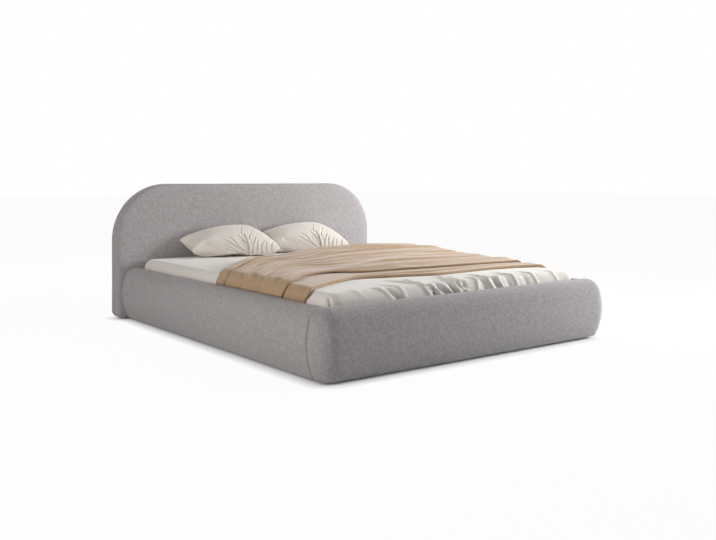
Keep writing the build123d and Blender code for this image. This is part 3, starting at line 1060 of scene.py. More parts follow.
@dataclass(frozen=True)
class Fold:
    """One soft fold or crease along a line on the cloth.

    Its height is negative for a crease, and its width is half of its foot.
    """

    path: tuple[Flat, ...]
    height: float
    width: float
    start: float = 0.0
    end: float = 0.0
    reach_widths: float = 3.0
    fade_power: float = 0.7

    def heights(self, places: np.ndarray) -> np.ndarray:
        """How much the fold lifts the cloth at each place.

        Args:
            places: An array of flat places.

        Returns:
            The heights.
        """
        curve = smooth_curve(np.array(self.path))
        reach = self.reach_widths * self.width
        near = ((places > curve.min(axis=0) - reach) & (places < curve.max(axis=0) + reach)).all(axis=1)
        lifts = np.zeros(len(places))
        if not near.any():
            return lifts
        starts, runs = curve[:-1], np.diff(curve, axis=0)
        lengths = np.maximum((runs**2).sum(axis=1), LEAST_SQUARE)
        offsets = places[near][:, None, :] - starts[None, :, :]
        along = np.clip((offsets * runs[None]).sum(axis=2) / lengths, 0, 1)
        gaps = np.linalg.norm(offsets - along[..., None] * runs[None], axis=2)
        nearest = gaps.argmin(axis=1)
        rows = np.arange(len(nearest))
        share = (nearest + along[rows, nearest]) / len(runs)
        fade = self.start + (self.end - self.start) * share
        fade = fade + (1 - fade) * np.sin(np.pi * np.clip(share, 0, 1)) ** self.fade_power
        lifts[near] = self.height * fade * np.exp(-((gaps[rows, nearest] / self.width) ** 2))
        return lifts


def lift_by_folds(places: np.ndarray, folds: Sequence[Fold]) -> np.ndarray:
    """The height that all folds together give each place."""
    return sum((fold.heights(places) for fold in folds), np.zeros(len(places)))


FoldRow = tuple[tuple[Flat, ...], float, float, float, float]


@dataclass
class FittedSheet:
    """The fitted sheet, drawn over the mattress, with its gathers at the foot."""

    linen: bpy.types.Material
    corner_radius: float = 0.062
    edge_radius: float = 0.049
    edge_steps: int = 12
    side_steps: int = 6
    corner_steps: int = 20
    pitches: Pair = (0.0065, 0.0140)
    thickness: float = 0.0018
    flat: Pair = (2.10, 2.50)
    slip: float = 0.0004
    least_radius: float = 0.012
    hem_hold: float = 0.05
    edge_hold: float = 0.8
    drag: float = 0.0022
    drags_per_metre: Pair = (5.5, 13.0)
    fine_drag_share: float = 0.5
    fine_drag_seed: Point = (3.0, 1.0, 2.0)

    # Folds: their points across and along the bed, height, width, and how far they
    # keep their height at the start and at the end
    ridges: tuple[FoldRow, ...] = (
        (((-0.30, -0.74), (-0.275, -0.90), (-0.256, -1.00), (-0.232, -1.055)), 0.010, 0.0085, 0.1, 1.0),
        (((-0.20, -0.76), (-0.235, -0.90), (-0.235, -0.99), (-0.176, -1.050)), 0.011, 0.0080, 0.1, 1.0),
        (((-0.215, -0.955), (-0.192, -1.01), (-0.157, -1.055)), 0.010, 0.0070, 0.1, 0.9),
        (((0.03, -0.76), (-0.035, -0.88), (-0.070, -0.99), (-0.037, -1.060)), 0.013, 0.0090, 0.3, 1.0),
        (((-0.145, -0.97), (-0.120, -1.02), (-0.087, -1.060)), 0.010, 0.0070, 0.1, 0.9),
        (((0.06, -0.80), (0.000, -0.92), (-0.030, -1.00), (0.014, -1.065)), 0.011, 0.0090, 0.2, 1.0),
        (((0.10, -0.88), (0.085, -0.98), (0.070, -1.06)), 0.009, 0.0100, 0.1, 0.8),
        (((0.20, -0.80), (0.175, -0.92), (0.165, -1.00), (0.185, -1.060)), 0.011, 0.0090, 0.2, 0.9),
        (((0.250, -0.92), (0.235, -1.00), (0.250, -1.055)), 0.009, 0.0080, 0.1, 0.9),
        (((0.36, -0.82), (0.345, -0.94), (0.352, -1.05)), 0.009, 0.0095, 0.1, 0.9),
        (((0.50, -0.86), (0.490, -0.96), (0.50, -1.05)), 0.008, 0.0100, 0.1, 0.8),
        (((0.66, -0.88), (0.645, -0.97), (0.66, -1.05)), 0.006, 0.0110, 0.1, 0.7),
        (((-0.53, -0.92), (-0.50, -0.99), (-0.446, -1.060)), 0.009, 0.0090, 0.1, 1.0),
        (((-0.43, -0.86), (-0.400, -0.96), (-0.385, -1.05)), 0.007, 0.0120, 0.1, 0.6),
        (((-0.66, -0.90), (-0.640, -0.98), (-0.60, -1.05)), 0.005, 0.0150, 0.1, 0.5),
    )
    valleys: tuple[FoldRow, ...] = (
        (((-0.470, -0.95), (-0.455, -1.00), (-0.425, -1.06)), -0.012, 0.017, 0.1, 1.0),
        (((-0.225, -0.84), (-0.250, -0.94), (-0.205, -1.03)), -0.008, 0.013, 0.1, 0.8),
        (((-0.205, -1.00), (-0.200, -1.06)), -0.012, 0.014, 0.3, 1.0),
        (((-0.150, -0.90), (-0.165, -1.00), (-0.120, -1.06)), -0.010, 0.014, 0.1, 1.0),
        (((-0.02, -0.84), (-0.085, -0.95), (-0.075, -1.05)), -0.012, 0.016, 0.2, 1.0),
        (((0.02, -0.90), (-0.010, -1.00), (-0.010, -1.05)), -0.009, 0.013, 0.2, 0.9),
        (((0.12, -0.86), (0.125, -0.98), (0.125, -1.05)), -0.009, 0.018, 0.1, 0.9),
        (((0.215, -0.90), (0.205, -1.00), (0.215, -1.05)), -0.010, 0.013, 0.1, 0.9),
        (((0.30, -0.90), (0.295, -1.00), (0.300, -1.05)), -0.007, 0.018, 0.1, 0.9),
        (((0.42, -0.92), (0.420, -1.00), (0.425, -1.05)), -0.007, 0.020, 0.1, 0.8),
    )
    slack: FoldRow = (((-0.44, -1.025), (0.10, -1.020), (0.70, -1.025)), -0.007, 0.040, 0.5, 0.5)
    drags: tuple[FoldRow, ...] = (
        (((-0.74, 0.62), (-0.60, 0.30), (-0.56, 0.02)), 0.003, 0.040, 0.2, 0.4),
        (((-0.40, 0.60), (-0.30, 0.52), (-0.16, 0.50)), 0.003, 0.030, 0.2, 0.4),
    )
    corner: FoldRow = (((0.783, -0.975), (0.785, -1.01), (0.785, -1.07)), -0.011, 0.0045, 0.3, 1.0)

    def _gathers(self) -> list[Fold]:
        """The folds of the sheet, across the bed and along it, past its edge and down its foot.

        Returns:
            The folds.
        """
        points, *shape = self.corner
        corners = [(tuple((side.value * x, y) for x, y in points), *shape) for side in Side]
        return [Fold(*row) for row in (*self.ridges, *self.valleys, self.slack, *self.drags, *corners)]

    def build(self) -> bpy.types.Object:
        """Model the sheet over the mattress.

        Returns:
            The sheet.
        """
        low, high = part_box("mattress")
        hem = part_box("fitted_sheet")[0][2]
        rim = quarter_round(self.edge_radius, self.edge_steps)
        top = high[2] + self.slip
        side = top - self.edge_radius - hem
        stations = [(hem + side * step / self.side_steps, 0.0) for step in range(self.side_steps)]
        stations += [(top - self.edge_radius + run, inset) for run, inset in rim]
        rings = []
        for z, inset in stations:
            radius = max(self.corner_radius - inset, self.least_radius)
            edges = (high[0] + self.slip - inset, low[1] - self.slip + inset, high[1] + self.slip - inset)
            outline = rounded_outline(*edges, (radius, radius), self.corner_steps)
            rings.append([(x, y, z) for x, y in outline])
        bm = bmesh.new()
        loops = bridge_all(bm, rings)
        bmesh.ops.holes_fill(bm, edges=loops[-1])
        for axis, pitch in zip((Axis.X, Axis.Y), self.pitches):
            slice_evenly(bm, axis, pitch)
        self._settle(bm, hem, top)
        sheet = add_piece(bm, "fitted_sheet_cloth", self.linen)
        add_wall(sheet, self.thickness, 1.0)
        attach(sheet, FRAME_BODY)
        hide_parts("fitted_sheet")
        return sheet

    def _settle(self, bm: bmesh.types.BMesh, hem: float, top: float) -> None:
        """Raise the folds and let the sheet drag softly between them.

        Args:
            bm: The sheet's mesh.
            hem: The height of its hem.
            top: The height of its top.
        """
        bm.normal_update()
        verts = bm.verts[:]
        places = np.array([self._unfolded(vert.co, top) for vert in verts])
        heights = lift_by_folds(places, self._gathers())
        for vert, height in zip(verts, heights):
            level = smoothstep((vert.co.z - hem) / self.hem_hold)
            tight = smoothstep((top - vert.co.z) / self.edge_radius)
            lift = height + abs(self._drag(vert.co)) * (1 - tight)
            room = 1 - self.edge_hold * tight if lift > 0 else 1.0
            vert.co += vert.normal * lift * room * level

    def _unfolded(self, place: Vector, top: float) -> Flat:
        """Where a point would lie with the sheet's ends laid flat."""
        return place.x, place.y + math.copysign(top - place.z, place.y)

    def _drag(self, place: Vector) -> float:
        """How far the cloth drags out of true at a point.

        Args:
            place: The point.

        Returns:
            The drag, up or down.
        """
        broad, fine = self.drags_per_metre
        small = noise.noise(place * fine + Vector(self.fine_drag_seed))
        return self.drag * (noise.noise(place * broad) + self.fine_drag_share * small)


@dataclass(frozen=True)
class Ripple:
    """A row of small uneven folds: their height, how many to a length, and a seed."""

    height: float
    across: float
    down: float
    seed: float

    def at(self, run: float, share: float) -> float:
        """The pattern's value, from about -1 to 1, at a place on the cloth."""
        return noise.noise(Vector((run * self.across, share * self.down, self.seed)))


@dataclass
class Throw:
    """The doubled throw across the bed: a tucked hem, an under layer, a roll and an upper layer."""

    cloth: bpy.types.Material
    columns: int = 196
    thickness: float = 0.0026
    flat: Pair = (1.80, 2.60)
    tuck: float = 0.022
    foot_bend: float = 0.0056
    step_bend: float = 0.0056
    layer_gap: float = 0.0016
    head_roll: float = 0.030
    fullness: float = 0.036
    side_bend: float = 0.030
    side_gap: float = 0.0026
    rest_gap: float = 0.0032
    hang: float = 0.056
    hang_slant: float = 0.8

    # How the hanging end draws in: the drop where it starts, over what drop, how much
    # it draws in, how much of the folds it keeps, and the least that it stands out
    snug_start: float = 0.012
    snug_run: float = 0.02
    snug_share: float = 0.78
    side_share: float = 0.8
    least_out: float = 0.001

    # Rows of the cloth in its seven runs, from the under hem to the upper one
    hem_rows: int = 3
    turn_rows: int = 7
    under_rows: int = 56
    under_crowding: float = 1.5
    under_share: float = 0.9
    roll_rows: int = 12
    upper_rows: int = 132

    # Places across the bed, each with the head edge, the upper layer's edge, the
    # foot edge and how full the throw is there
    lines: tuple[tuple[float, float, float, float, float], ...] = (
        (-0.80, -0.025, -0.672, -0.845, 0.00),
        (-0.71, 0.075, -0.605, -0.785, 0.02),
        (-0.61, 0.195, -0.510, -0.722, 0.05),
        (-0.50, 0.320, -0.455, -0.668, 0.10),
        (-0.40, 0.412, -0.445, -0.630, 0.17),
        (-0.29, 0.440, -0.510, -0.640, 0.28),
        (-0.20, 0.425, -0.532, -0.668, 0.44),
        (-0.08, 0.475, -0.540, -0.700, 0.70),
        (0.06, 0.510, -0.545, -0.735, 0.90),
        (0.24, 0.500, -0.560, -0.722, 1.00),
        (0.44, 0.500, -0.580, -0.718, 1.00),
        (0.64, 0.500, -0.600, -0.740, 0.95),
        (0.80, 0.500, -0.620, -0.800, 0.84),
    )

    # How full the throw is from its head edge to the upper layer's edge
    crown_shares: tuple[Flat, ...] = (
        (0.0, 0.62),
        (0.10, 0.92),
        (0.24, 1.0),
        (0.40, 0.82),
        (0.64, 0.32),
        (0.86, 0.05),
        (1.0, 0.0),
    )

    # The long folds of the upper layer, with their points across the bed and down the
    # layer as a share, and their height, width, start and end
    long_folds: tuple[FoldRow, ...] = (
        (((-0.84, 0.120), (-0.66, 0.125), (-0.50, 0.115), (-0.24, 0.07)), -0.015, 0.009, 1.0, 0.1),
        (((-0.84, 0.175), (-0.66, 0.18), (-0.48, 0.17), (-0.22, 0.13)), 0.006, 0.026, 1.0, 0.1),
        (((-0.84, 0.085), (-0.66, 0.085), (-0.50, 0.08), (-0.30, 0.05)), 0.006, 0.022, 1.0, 0.0),
        (((-0.84, 0.36), (-0.60, 0.34), (-0.36, 0.30), (0.00, 0.33)), -0.009, 0.034, 0.9, 0.0),
        (((-0.84, 0.50), (-0.60, 0.47), (-0.30, 0.45), (0.10, 0.47), (0.60, 0.46)), 0.011, 0.044, 0.9, 0.5),
        (((-0.84, 0.67), (-0.60, 0.64), (-0.34, 0.60), (0.20, 0.60)), -0.007, 0.034, 0.8, 0.1),
        (((-0.84, 0.84), (-0.60, 0.80), (-0.30, 0.76), (0.20, 0.72), (0.80, 0.70)), 0.009, 0.040, 0.9, 0.7),
        (((-0.40, 0.90), (-0.10, 0.86), (0.30, 0.84), (0.82, 0.84)), -0.007, 0.020, 0.2, 0.7),
        (((-0.36, 0.955), (0.00, 0.92), (0.40, 0.92), (0.82, 0.91)), 0.008, 0.026, 0.4, 0.9),
        (((-0.30, 0.17), (0.10, 0.15), (0.50, 0.14), (0.82, 0.15)), 0.009, 0.034, 0.1, 0.5),
        (((-0.20, 0.27), (0.10, 0.24), (0.50, 0.23), (0.82, 0.26)), -0.008, 0.026, 0.1, 0.5),
        (((-0.10, 0.38), (0.20, 0.34), (0.55, 0.33), (0.82, 0.36)), 0.008, 0.030, 0.1, 0.5),
        (((0.10, 0.54), (0.40, 0.52), (0.82, 0.55)), -0.007, 0.026, 0.1, 0.5),
        (((-0.55, -0.985), (-0.10, -0.965), (0.20, -0.955), (0.50, -0.965)), -0.006, 0.008, 0.0, 0.0),
        (((-0.40, -0.965), (-0.05, -0.945), (0.30, -0.935), (0.82, -0.945)), 0.006, 0.012, 0.0, 0.6),
    )

    # The small folds that differ one by one
    under_ripple: Ripple = Ripple(0.003, 2.2, 14.0, 4.0)
    long_ripple: Ripple = Ripple(0.006, 1.5, 6.0, 0.0)
    crest_ripple: Ripple = Ripple(0.008, 1.2, 8.0, 3.0)
    short_ripple: Ripple = Ripple(0.0022, 4.0, 22.0, 7.0)
    crest_narrowing: float = 3.2
    crest_power: float = 1.6

    # Where the ripples die down: the reach across the bed where that starts, over what
    # reach, by how much, the shares of the layer at its two edges, and what is left there
    calm_reach: float = 0.70
    calm_run: float = 0.10
    calm_share: float = 0.8
    edge_shares: Pair = (0.05, 0.04)
    edge_rest_share: float = 0.3

    def build(self) -> bpy.types.Object:
        """Lay the throw across the bed.

        Returns:
            The throw.
        """
        rows = 2 * (self.hem_rows + self.turn_rows) + self.under_rows + self.roll_rows + self.upper_rows
        bm = bmesh.new()
        bmesh.ops.create_grid(bm, x_segments=self.columns, y_segments=rows, size=0.5)
        self._drape(bm, rows)
        throw = add_piece(bm, "throw_blanket", self.cloth, mapped=True)
        add_wall(throw, self.thickness, 1.0)
        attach(throw, FRAME_BODY)
        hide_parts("throw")
        return throw

    def _drape(self, bm: bmesh.types.BMesh, rows: int) -> None:
        """Move a flat grid to where the doubled cloth lies.

        Args:
            bm: A grid one wide and one long.
            rows: Its number of rows.
        """
        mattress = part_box("mattress")[1]
        half, rest = mattress[0], mattress[2] + self.rest_gap
        table = np.array(self.lines)
        smooth = [smooth_curve(table[:, (0, index)]) for index in range(1, 5)]
        crown = smooth_curve(np.array(self.crown_shares))
        span = 2 * (half + self.hang)
        runs = [(column / self.columns - 0.5) * span for column in range(self.columns + 1)]
        flats = [min(max(run, -half), half) for run in runs]
        profiles = []
        for x in flats:
            head, step, foot, full = [float(np.interp(x, line[:, 0], line[:, 1])) for line in smooth]
            profiles.append(self._profile(head, step, foot, full, crown))
        down = [share for _, _, share in profiles[0]]
        places = np.array([(run, share) for run in runs for share in down])
        folds = [Fold(*row) for row in self.long_folds]
        waves = lift_by_folds(places, folds).reshape(len(runs), rows + 1)
        lengths = self._lengths(profiles[self.columns // 2])
        layer = bm.loops.layers.uv.verify()
        for face in bm.faces:
            for loop in face.loops:
                column, row = self._cell(loop.vert.co, rows)
                loop[layer].uv = (runs[column], lengths[row])
        for vert in bm.verts:
            column, row = self._cell(vert.co, rows)
            y, lift, share = profiles[column][row]
            wave = self._wave(runs[column], share, float(waves[column, row]))
            y += self.hang_slant * max(abs(runs[column]) - half, 0.0)
            vert.co = self._over_edge(runs[column], y, rest, lift, wave, half)

    def _cell(self, place: Vector, rows: int) -> tuple[int, int]:
        """The column and row of a point of the flat grid that is one wide and long."""
        return round((place.x + 0.5) * self.columns), round((place.y + 0.5) * rows)

    def _lengths(self, profile: list[Point]) -> list[float]:
        """How far along the cloth each row is.

        Args:
            profile: The cloth's path.

        Returns:
            The length up to each row.
        """
        lengths = [0.0]
        for (y, lift, _), (next_y, next_lift, _) in zip(profile, profile[1:]):
            lengths.append(lengths[-1] + math.hypot(next_y - y, next_lift - lift))
        return lengths

    def _wave(self, run: float, share: float, folds: float) -> float:
        """The height of the folds at one point of the cloth.

        Args:
            run: The way across the bed.
            share: How far down the upper layer it is, or below zero on the under layer.
            folds: The height of the drawn folds there.

        Returns:
            The height.
        """
        if share < 0:
            return folds + self.under_ripple.height * self.under_ripple.at(run, share)
        long_wave = self.long_ripple.height * self.long_ripple.at(run, share)
        short_wave = self.short_ripple.height * self.short_ripple.at(run, share)
        ridge = max(1 - self.crest_narrowing * abs(self.crest_ripple.at(run, share)), 0.0)
        crest = self.crest_ripple.height * ridge**self.crest_power
        calm = 1 - self.calm_share * smoothstep((abs(run) - self.calm_reach) / self.calm_run)
        first, last = self.edge_shares
        ends = smoothstep(share / first) * smoothstep((1 - share) / last)
        loose = long_wave + crest + short_wave
        return (folds + loose * calm) * (self.edge_rest_share + (1 - self.edge_rest_share) * ends)

    def _profile(self, head: float, step: float, foot: float, full: float, crown: np.ndarray) -> list[Point]:
        """The cloth's path along the bed at one place across it.

        Args:
            head: Where its head edge is.
            step: Where the upper layer's edge is.
            foot: Where its foot edge is.
            full: How full it is.
            crown: How the fullness goes along the upper layer.

        Returns:
            For each row its place, its height and its share of the upper layer,
            with a share below zero on the under layer.
        """
        low, turn = self.foot_bend, self.step_bend
        under = 2 * low
        edge_top = under + self.thickness + self.layer_gap + 2 * turn
        path = []
        for share in np.linspace(0, 1, self.hem_rows, endpoint=False):
            path.append((foot + self.tuck + (low - self.tuck) * share, 0.0, -1.0))
        for angle in np.linspace(-math.pi / 2, math.pi / 2, self.turn_rows, endpoint=False):
            path.append((foot + low * (1 - math.cos(angle)), low * (1 + math.sin(angle)), -1.0))
        for share in np.linspace(0, 1, self.under_rows, endpoint=False):
            run = share**self.under_crowding
            y = foot + low + (head - self.head_roll - foot - low) * run
            path.append((y, under, -1.0 + self.under_share * run))
        start = edge_top + self.fullness * full * crown[0, 1]
        for angle in np.linspace(0, math.pi, self.roll_rows, endpoint=False):
            rise = (start - under) * (1 - math.cos(angle)) / 2
            path.append((head - self.head_roll * (1 - math.sin(angle)), under + rise, 0.0))
        for share in np.linspace(0, 1, self.upper_rows, endpoint=False):
            rise = edge_top + self.fullness * full * float(np.interp(share, crown[:, 0], crown[:, 1]))
            y = head - self.head_roll + (step + turn - head + self.head_roll) * share
            path.append((y, rise, share))
        for angle in np.linspace(math.pi / 2, -math.pi / 2, self.turn_rows, endpoint=False):
            path.append((step + turn * (1 - math.cos(angle)), edge_top - turn * (1 - math.sin(angle)), 1.0))
        for share in np.linspace(0, 1, self.hem_rows + 1):
            path.append((step + turn + (self.tuck - turn) * share, edge_top - 2 * turn, 1.0))
        return path

    def _over_edge(self, run: float, y: float, rest: float, lift: float, wave: float, half: float) -> Point:
        """Turn the cloth down over the mattress's edge.

        Args:
            run: The way across the bed, past the edge where it hangs.
            y: The place along the bed.
            rest: The height that the cloth rests at.
            lift: How high this layer lies on it.
            wave: The height of the folds.
            half: Half the mattress's width.

        Returns:
            The point.
        """
        bend = self.side_bend
        sign = math.copysign(1.0, run)
        past = abs(run) - (half - bend)
        if past <= 0:
            return run, y, rest + lift + wave
        turn = min(past / (bend * math.pi / 2), 1.0) * math.pi / 2
        drop = max(past - bend * math.pi / 2, 0.0)
        snug = smoothstep((drop - self.snug_start) / self.snug_run)
        out = max(lift + wave, self.least_out) * (1 - self.snug_share * snug) * self.side_share
        x = half - bend + (bend + self.side_gap + out) * math.sin(turn)
        z = rest - bend + (bend + lift + wave) * math.cos(turn) - drop
        return sign * x, y, z


@dataclass(frozen=True)
class Inflation:
    """How a padded piece is blown up as cloth."""

    voxel: float = 0.006
    frames: int = 20
    pressure: float = 4.0
    move_limit: float = 0.014
    quality: int = 5
    mass: float = 0.2
    tension: float = 18.0
    compression: float = 12.0
    bending: float = 0.4

    def blow_up(self, piece: bpy.types.Object) -> None:
        """Simulate a piece and keep the result in its mesh.

        Args:
            piece: The piece, which gets an even mesh first.
        """
        remesh = piece.modifiers.new("even", "REMESH")
        remesh.mode = "VOXEL"
        remesh.voxel_size = self.voxel
        bake_modifiers(piece)
        before = vertex_places(piece.data)
        self._simulate(piece)
        moves = vertex_places(piece.data) - before
        lengths = np.maximum(np.linalg.norm(moves, axis=1, keepdims=True), LEAST_LENGTH)
        held = before + moves * np.minimum(self.move_limit / lengths, 1.0)
        piece.data.vertices.foreach_set("co", held.ravel())
        smooth = piece.modifiers.new("fine", "SUBSURF")
        smooth.levels = smooth.render_levels = 1
        bake_modifiers(piece)
        for polygon in piece.data.polygons:
            polygon.use_smooth = True

    def _simulate(self, piece: bpy.types.Object) -> None:
        """Run the cloth through its frames and apply it.

        Args:
            piece: The piece, with an even mesh.
        """
        scene = bpy.context.scene
        cloth = piece.modifiers.new("cloth", "CLOTH")
        settings = cloth.settings
        settings.use_pressure = True
        settings.uniform_pressure_force = self.pressure
        settings.quality = self.quality
        settings.mass = self.mass
        settings.tension_stiffness = self.tension
        settings.compression_stiffness = self.compression
        settings.bending_stiffness = self.bending
        settings.effector_weights.gravity = 0.0
        cloth.point_cache.frame_start = 1
        cloth.point_cache.frame_end = self.frames
        for step in range(1, self.frames + 1):
            scene.frame_set(step)
        bake_modifiers(piece)
        scene.frame_set(1)


@dataclass
class Pillow:
    """A plump pillow that leans back against the headboard."""

    side: Side
    linen: bpy.types.Material
    depth: float = 0.318
    tilt: float = math.radians(14)
    cells: int = 96
    inflation: Inflation = Inflation()

    # Room for the filling to swell: at each side, above and below, and the shift of
    # the middle, forward and down
    side_room: float = 0.004
    height_room: float = 0.010
    middle_shift: Point = (0.0, 0.002, 0.006)

    # The crown: its powers along, across and up, and the least thickness at the seam
    crown_powers: Triple = (3.0, 2.2, 0.46)
    seam_share: float = 0.06
    corner_pull: float = 0.07
    lean_right: float = 0.42
    corner_back: float = 0.125
    left_drop: Pair = (0.024, 0.018)
    right_drop: float = 0.016
    right_reach: float = 0.046

    # The front, where the creases are drawn: its direction, and how the way across it
    # and the way up it change with the place
    front: Point = (-0.49, -0.87, 0.07)
    front_fade: float = 0.25
    across_by_depth: float = -0.564
    up_by_place: Pair = (0.044, 0.057)

    # The creases: their points across and up the front, depth and width. Beside each
    # runs a raised line, so many widths away
    creases: tuple[tuple[tuple[Flat, ...], float, float], ...] = (
        (((0.159, 0.012), (0.154, 0.062), (0.141, 0.104), (0.125, 0.127), (0.120, 0.150)), 0.0068, 0.0050),
        (((0.149, 0.022), (0.135, 0.076), (0.104, 0.113), (0.059, 0.146)), 0.0046, 0.0044),
        (((0.141, 0.026), (0.091, 0.062), (0.038, 0.109), (-0.009, 0.127)), 0.0048, 0.0044),
        (((0.128, 0.028), (0.075, 0.058), (0.022, 0.090), (-0.020, 0.109)), 0.0042, 0.0042),
        (((0.101, 0.028), (0.049, 0.048), (0.007, 0.067), (-0.022, 0.076)), 0.0038, 0.0040),
        (((0.080, 0.025), (0.028, 0.039), (-0.014, 0.053)), 0.0036, 0.0040),
        (((0.185, 0.015), (0.185, 0.067), (0.201, 0.109), (0.206, 0.127)), 0.0046, 0.0052),
        (((0.222, 0.015), (0.217, 0.076), (0.222, 0.123)), 0.0036, 0.0046),
        (((0.254, 0.018), (0.249, 0.067), (0.270, 0.104)), 0.0044, 0.0050),
        (((0.285, 0.022), (0.280, 0.076), (0.291, 0.113)), 0.0028, 0.0044),
        (((0.327, 0.026), (0.322, 0.076), (0.343, 0.104)), 0.0044, 0.0050),
        (((0.104, 0.183), (0.101, 0.146), (0.122, 0.123)), 0.0030, 0.0042),
        (((0.175, 0.155), (0.159, 0.123), (0.170, 0.095)), 0.0036, 0.0048),
    )
    crease_gain: float = 1.2
    raised_widths: Pair = (1.7, 0.6)
    raised_height_share: float = 0.6
    raised_width_share: float = 1.2
    raised_start: float = 0.8

    # The fine wrinkles round the pinch at the front's low edge
    pinch: Flat = (0.146, 0.024)
    fan_height: float = 0.0030
    fan_reach: float = 0.130
    fan_start: float = 0.03
    fan_pattern: Triple = (6.0, 7.0, 2.0)
    fan_crest: Pair = (0.6, 2.4)

    # The underside: its gap to what it lies on, and how its front edge rises from
    # there, from where, over what depth, and less at the left end and past the pinch
    rest_gap: float = 0.0014
    belly_rise: float = 0.036
    belly_power: float = 1.5
    belly_start: float = 0.04
    belly_run: float = 0.17
    left_end: float = -0.26
    left_run: float = 0.16
    left_share: float = 0.35
    right_end: float = 0.12
    right_run: float = 0.07
    right_share: float = 0.2

    def _creases(self) -> list[Fold]:
        """The main creases, most of which fan out from the pinch at the front's low edge.

        Returns:
            Each crease, with the raised line beside it.
        """
        right, higher = self.raised_widths
        folds = []
        for points, depth, width in self.creases:
            folds.append(Fold(points, -depth, width, 1.0))
            raised = tuple((across + right * width, up + higher * width) for across, up in points)
            height = self.raised_height_share * depth
            folds.append(Fold(raised, height, self.raised_width_share * width, self.raised_start))
        return folds

    def _fan(self, fronts: np.ndarray) -> np.ndarray:
        """The fine wrinkles that spread from the pinch.

        Args:
            fronts: Places on the front.

        Returns:
            The height of the wrinkles at each.
        """
        offsets = fronts - np.array(self.pinch)
        reach = np.linalg.norm(offsets, axis=1)
        turns = np.arctan2(offsets[:, 1], offsets[:, 0])
        round_it, outward, seed = self.fan_pattern
        top, steepness = self.fan_crest
        ripples = [
            top - steepness * abs(noise.noise(Vector((turn * round_it, gap * outward, seed))))
            for turn, gap in zip(turns, reach)
        ]
        fade = np.exp(-((reach / self.fan_reach) ** 2)) * np.clip(reach / self.fan_start, 0, 1)
        return self.fan_height * np.array(ripples) * fade

    def build(self) -> bpy.types.Object:
        """Model, inflate and crease the pillow.

        Returns:
            The pillow.
        """
        node = f"pillow_{self.side.word}"
        low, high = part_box(node)
        pillow = add_piece(self._filled(low, high), f"{node}_case", self.linen)
        self.inflation.blow_up(pillow)
        self._crease(pillow, low, high)
        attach(pillow, FRAME_BODY)
        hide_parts(node)
        return pillow

    def _filled(self, low: Sequence[float], high: Sequence[float]) -> bmesh.types.BMesh:
        """A crowned form whose sides pull in between its corners.

        Args:
            low: The lowest corner of its CAD solid.
            high: The highest corner.

        Returns:
            The mesh, in place.
        """
        half_width = (high[0] - low[0]) / 2 - self.side_room
        half_depth = self.depth / 2
        half_height = (high[2] - low[2]) / 2 - self.height_room
        centre = Vector([(start + end) / 2 for start, end in zip(low, high)]) - Vector(self.middle_shift)
        along, across, upward = self.crown_powers
        lean = Matrix.Rotation(self.tilt, 3, "X")
        bm = bmesh.new()
        bmesh.ops.create_cube(bm, size=2.0)
        bmesh.ops.subdivide_edges(bm, edges=bm.edges, cuts=self.cells, use_grid_fill=True)
        for vert in bm.verts:
            x, y, z = vert.co
            pull_x = 1 - self.corner_pull * (1 - y**2)
            pull_y = 1 - self.corner_pull * (1 - x**2)
            peak = x - self.lean_right * (1 - x**2)
            crown = (max(1 - abs(peak) ** along, 0) * max(1 - abs(y) ** across, 0)) ** upward
            leftward, rightward, forward = ((1 - x) / 2) ** 2, ((1 + x) / 2) ** 2, (1 - y) / 2
            drop = leftward * (self.left_drop[0] + self.left_drop[1] * forward)
            drop += rightward * self.right_drop * forward
            shaped = (
                x * half_width * pull_x + self.right_reach * rightward * forward**2,
                y * half_depth * pull_y + self.corner_back * leftward * forward,
                z * half_height * (self.seam_share + (1 - self.seam_share) * crown) - drop,
            )
            vert.co = centre + lean @ Vector(shaped)
        return bm

    def _crease(self, pillow: bpy.types.Object, low: Sequence[float], high: Sequence[float]) -> None:
        """Crease the pillow, and press it flat where it meets the sheet and the headboard.

        Args:
            pillow: The pillow.
            low: The lowest corner of its CAD solid.
            high: The highest corner.
        """
        mesh = pillow.data
        middle = np.array([(low[0] + high[0]) / 2, (low[1] + high[1]) / 2])
        places = vertex_places(mesh)
        flats = places[:, :2] - middle
        across = flats[:, 0] + self.across_by_depth * flats[:, 1]
        up = places[:, 2] - low[2] + flats @ np.array(self.up_by_place)
        fronts = np.column_stack((across, up))
        lifts = self.crease_gain * (lift_by_folds(fronts, self._creases()) + self._fan(fronts))
        normals = np.array([vert.normal for vert in mesh.vertices])
        facing = np.clip(normals @ np.array(self.front) / self.front_fade, 0, 1)
        places += normals * (lifts * facing)[:, None]
        forward = np.clip((self.belly_start - flats[:, 1]) / self.belly_run, 0, 1)
        level = np.clip((flats[:, 0] - self.left_end) / self.left_run, self.left_share, 1)
        level *= np.clip((self.right_end - flats[:, 0]) / self.right_run, self.right_share, 1)
        floor = low[2] + self.rest_gap + self.belly_rise * level * forward**self.belly_power
        places[:, 2] = np.maximum(places[:, 2], floor)
        places[:, 1] = np.minimum(places[:, 1], high[1] - self.rest_gap)
        mesh.vertices.foreach_set("co", places.ravel())
        mesh.update()


def vertex_places(mesh: bpy.types.Mesh) -> np.ndarray:
    """The places of a mesh's points.

    Args:
        mesh: The mesh.

    Returns:
        The places, one row each.
    """
    places = np.empty(len(mesh.vertices) * 3)
    mesh.vertices.foreach_get("co", places)
    return places.reshape(-1, 3)


def bake_modifiers(piece: bpy.types.Object) -> None:
    """Replace a piece's mesh by what its modifiers make of it.

    Args:
        piece: The piece, which loses its modifiers.
    """
    graph = bpy.context.evaluated_depsgraph_get()
    shaped = bpy.data.meshes.new_from_object(piece.evaluated_get(graph))
    worn = piece.data
    piece.modifiers.clear()
    piece.data = shaped
    bpy.data.meshes.remove(worn)


# Everything that keeps its CAD shape


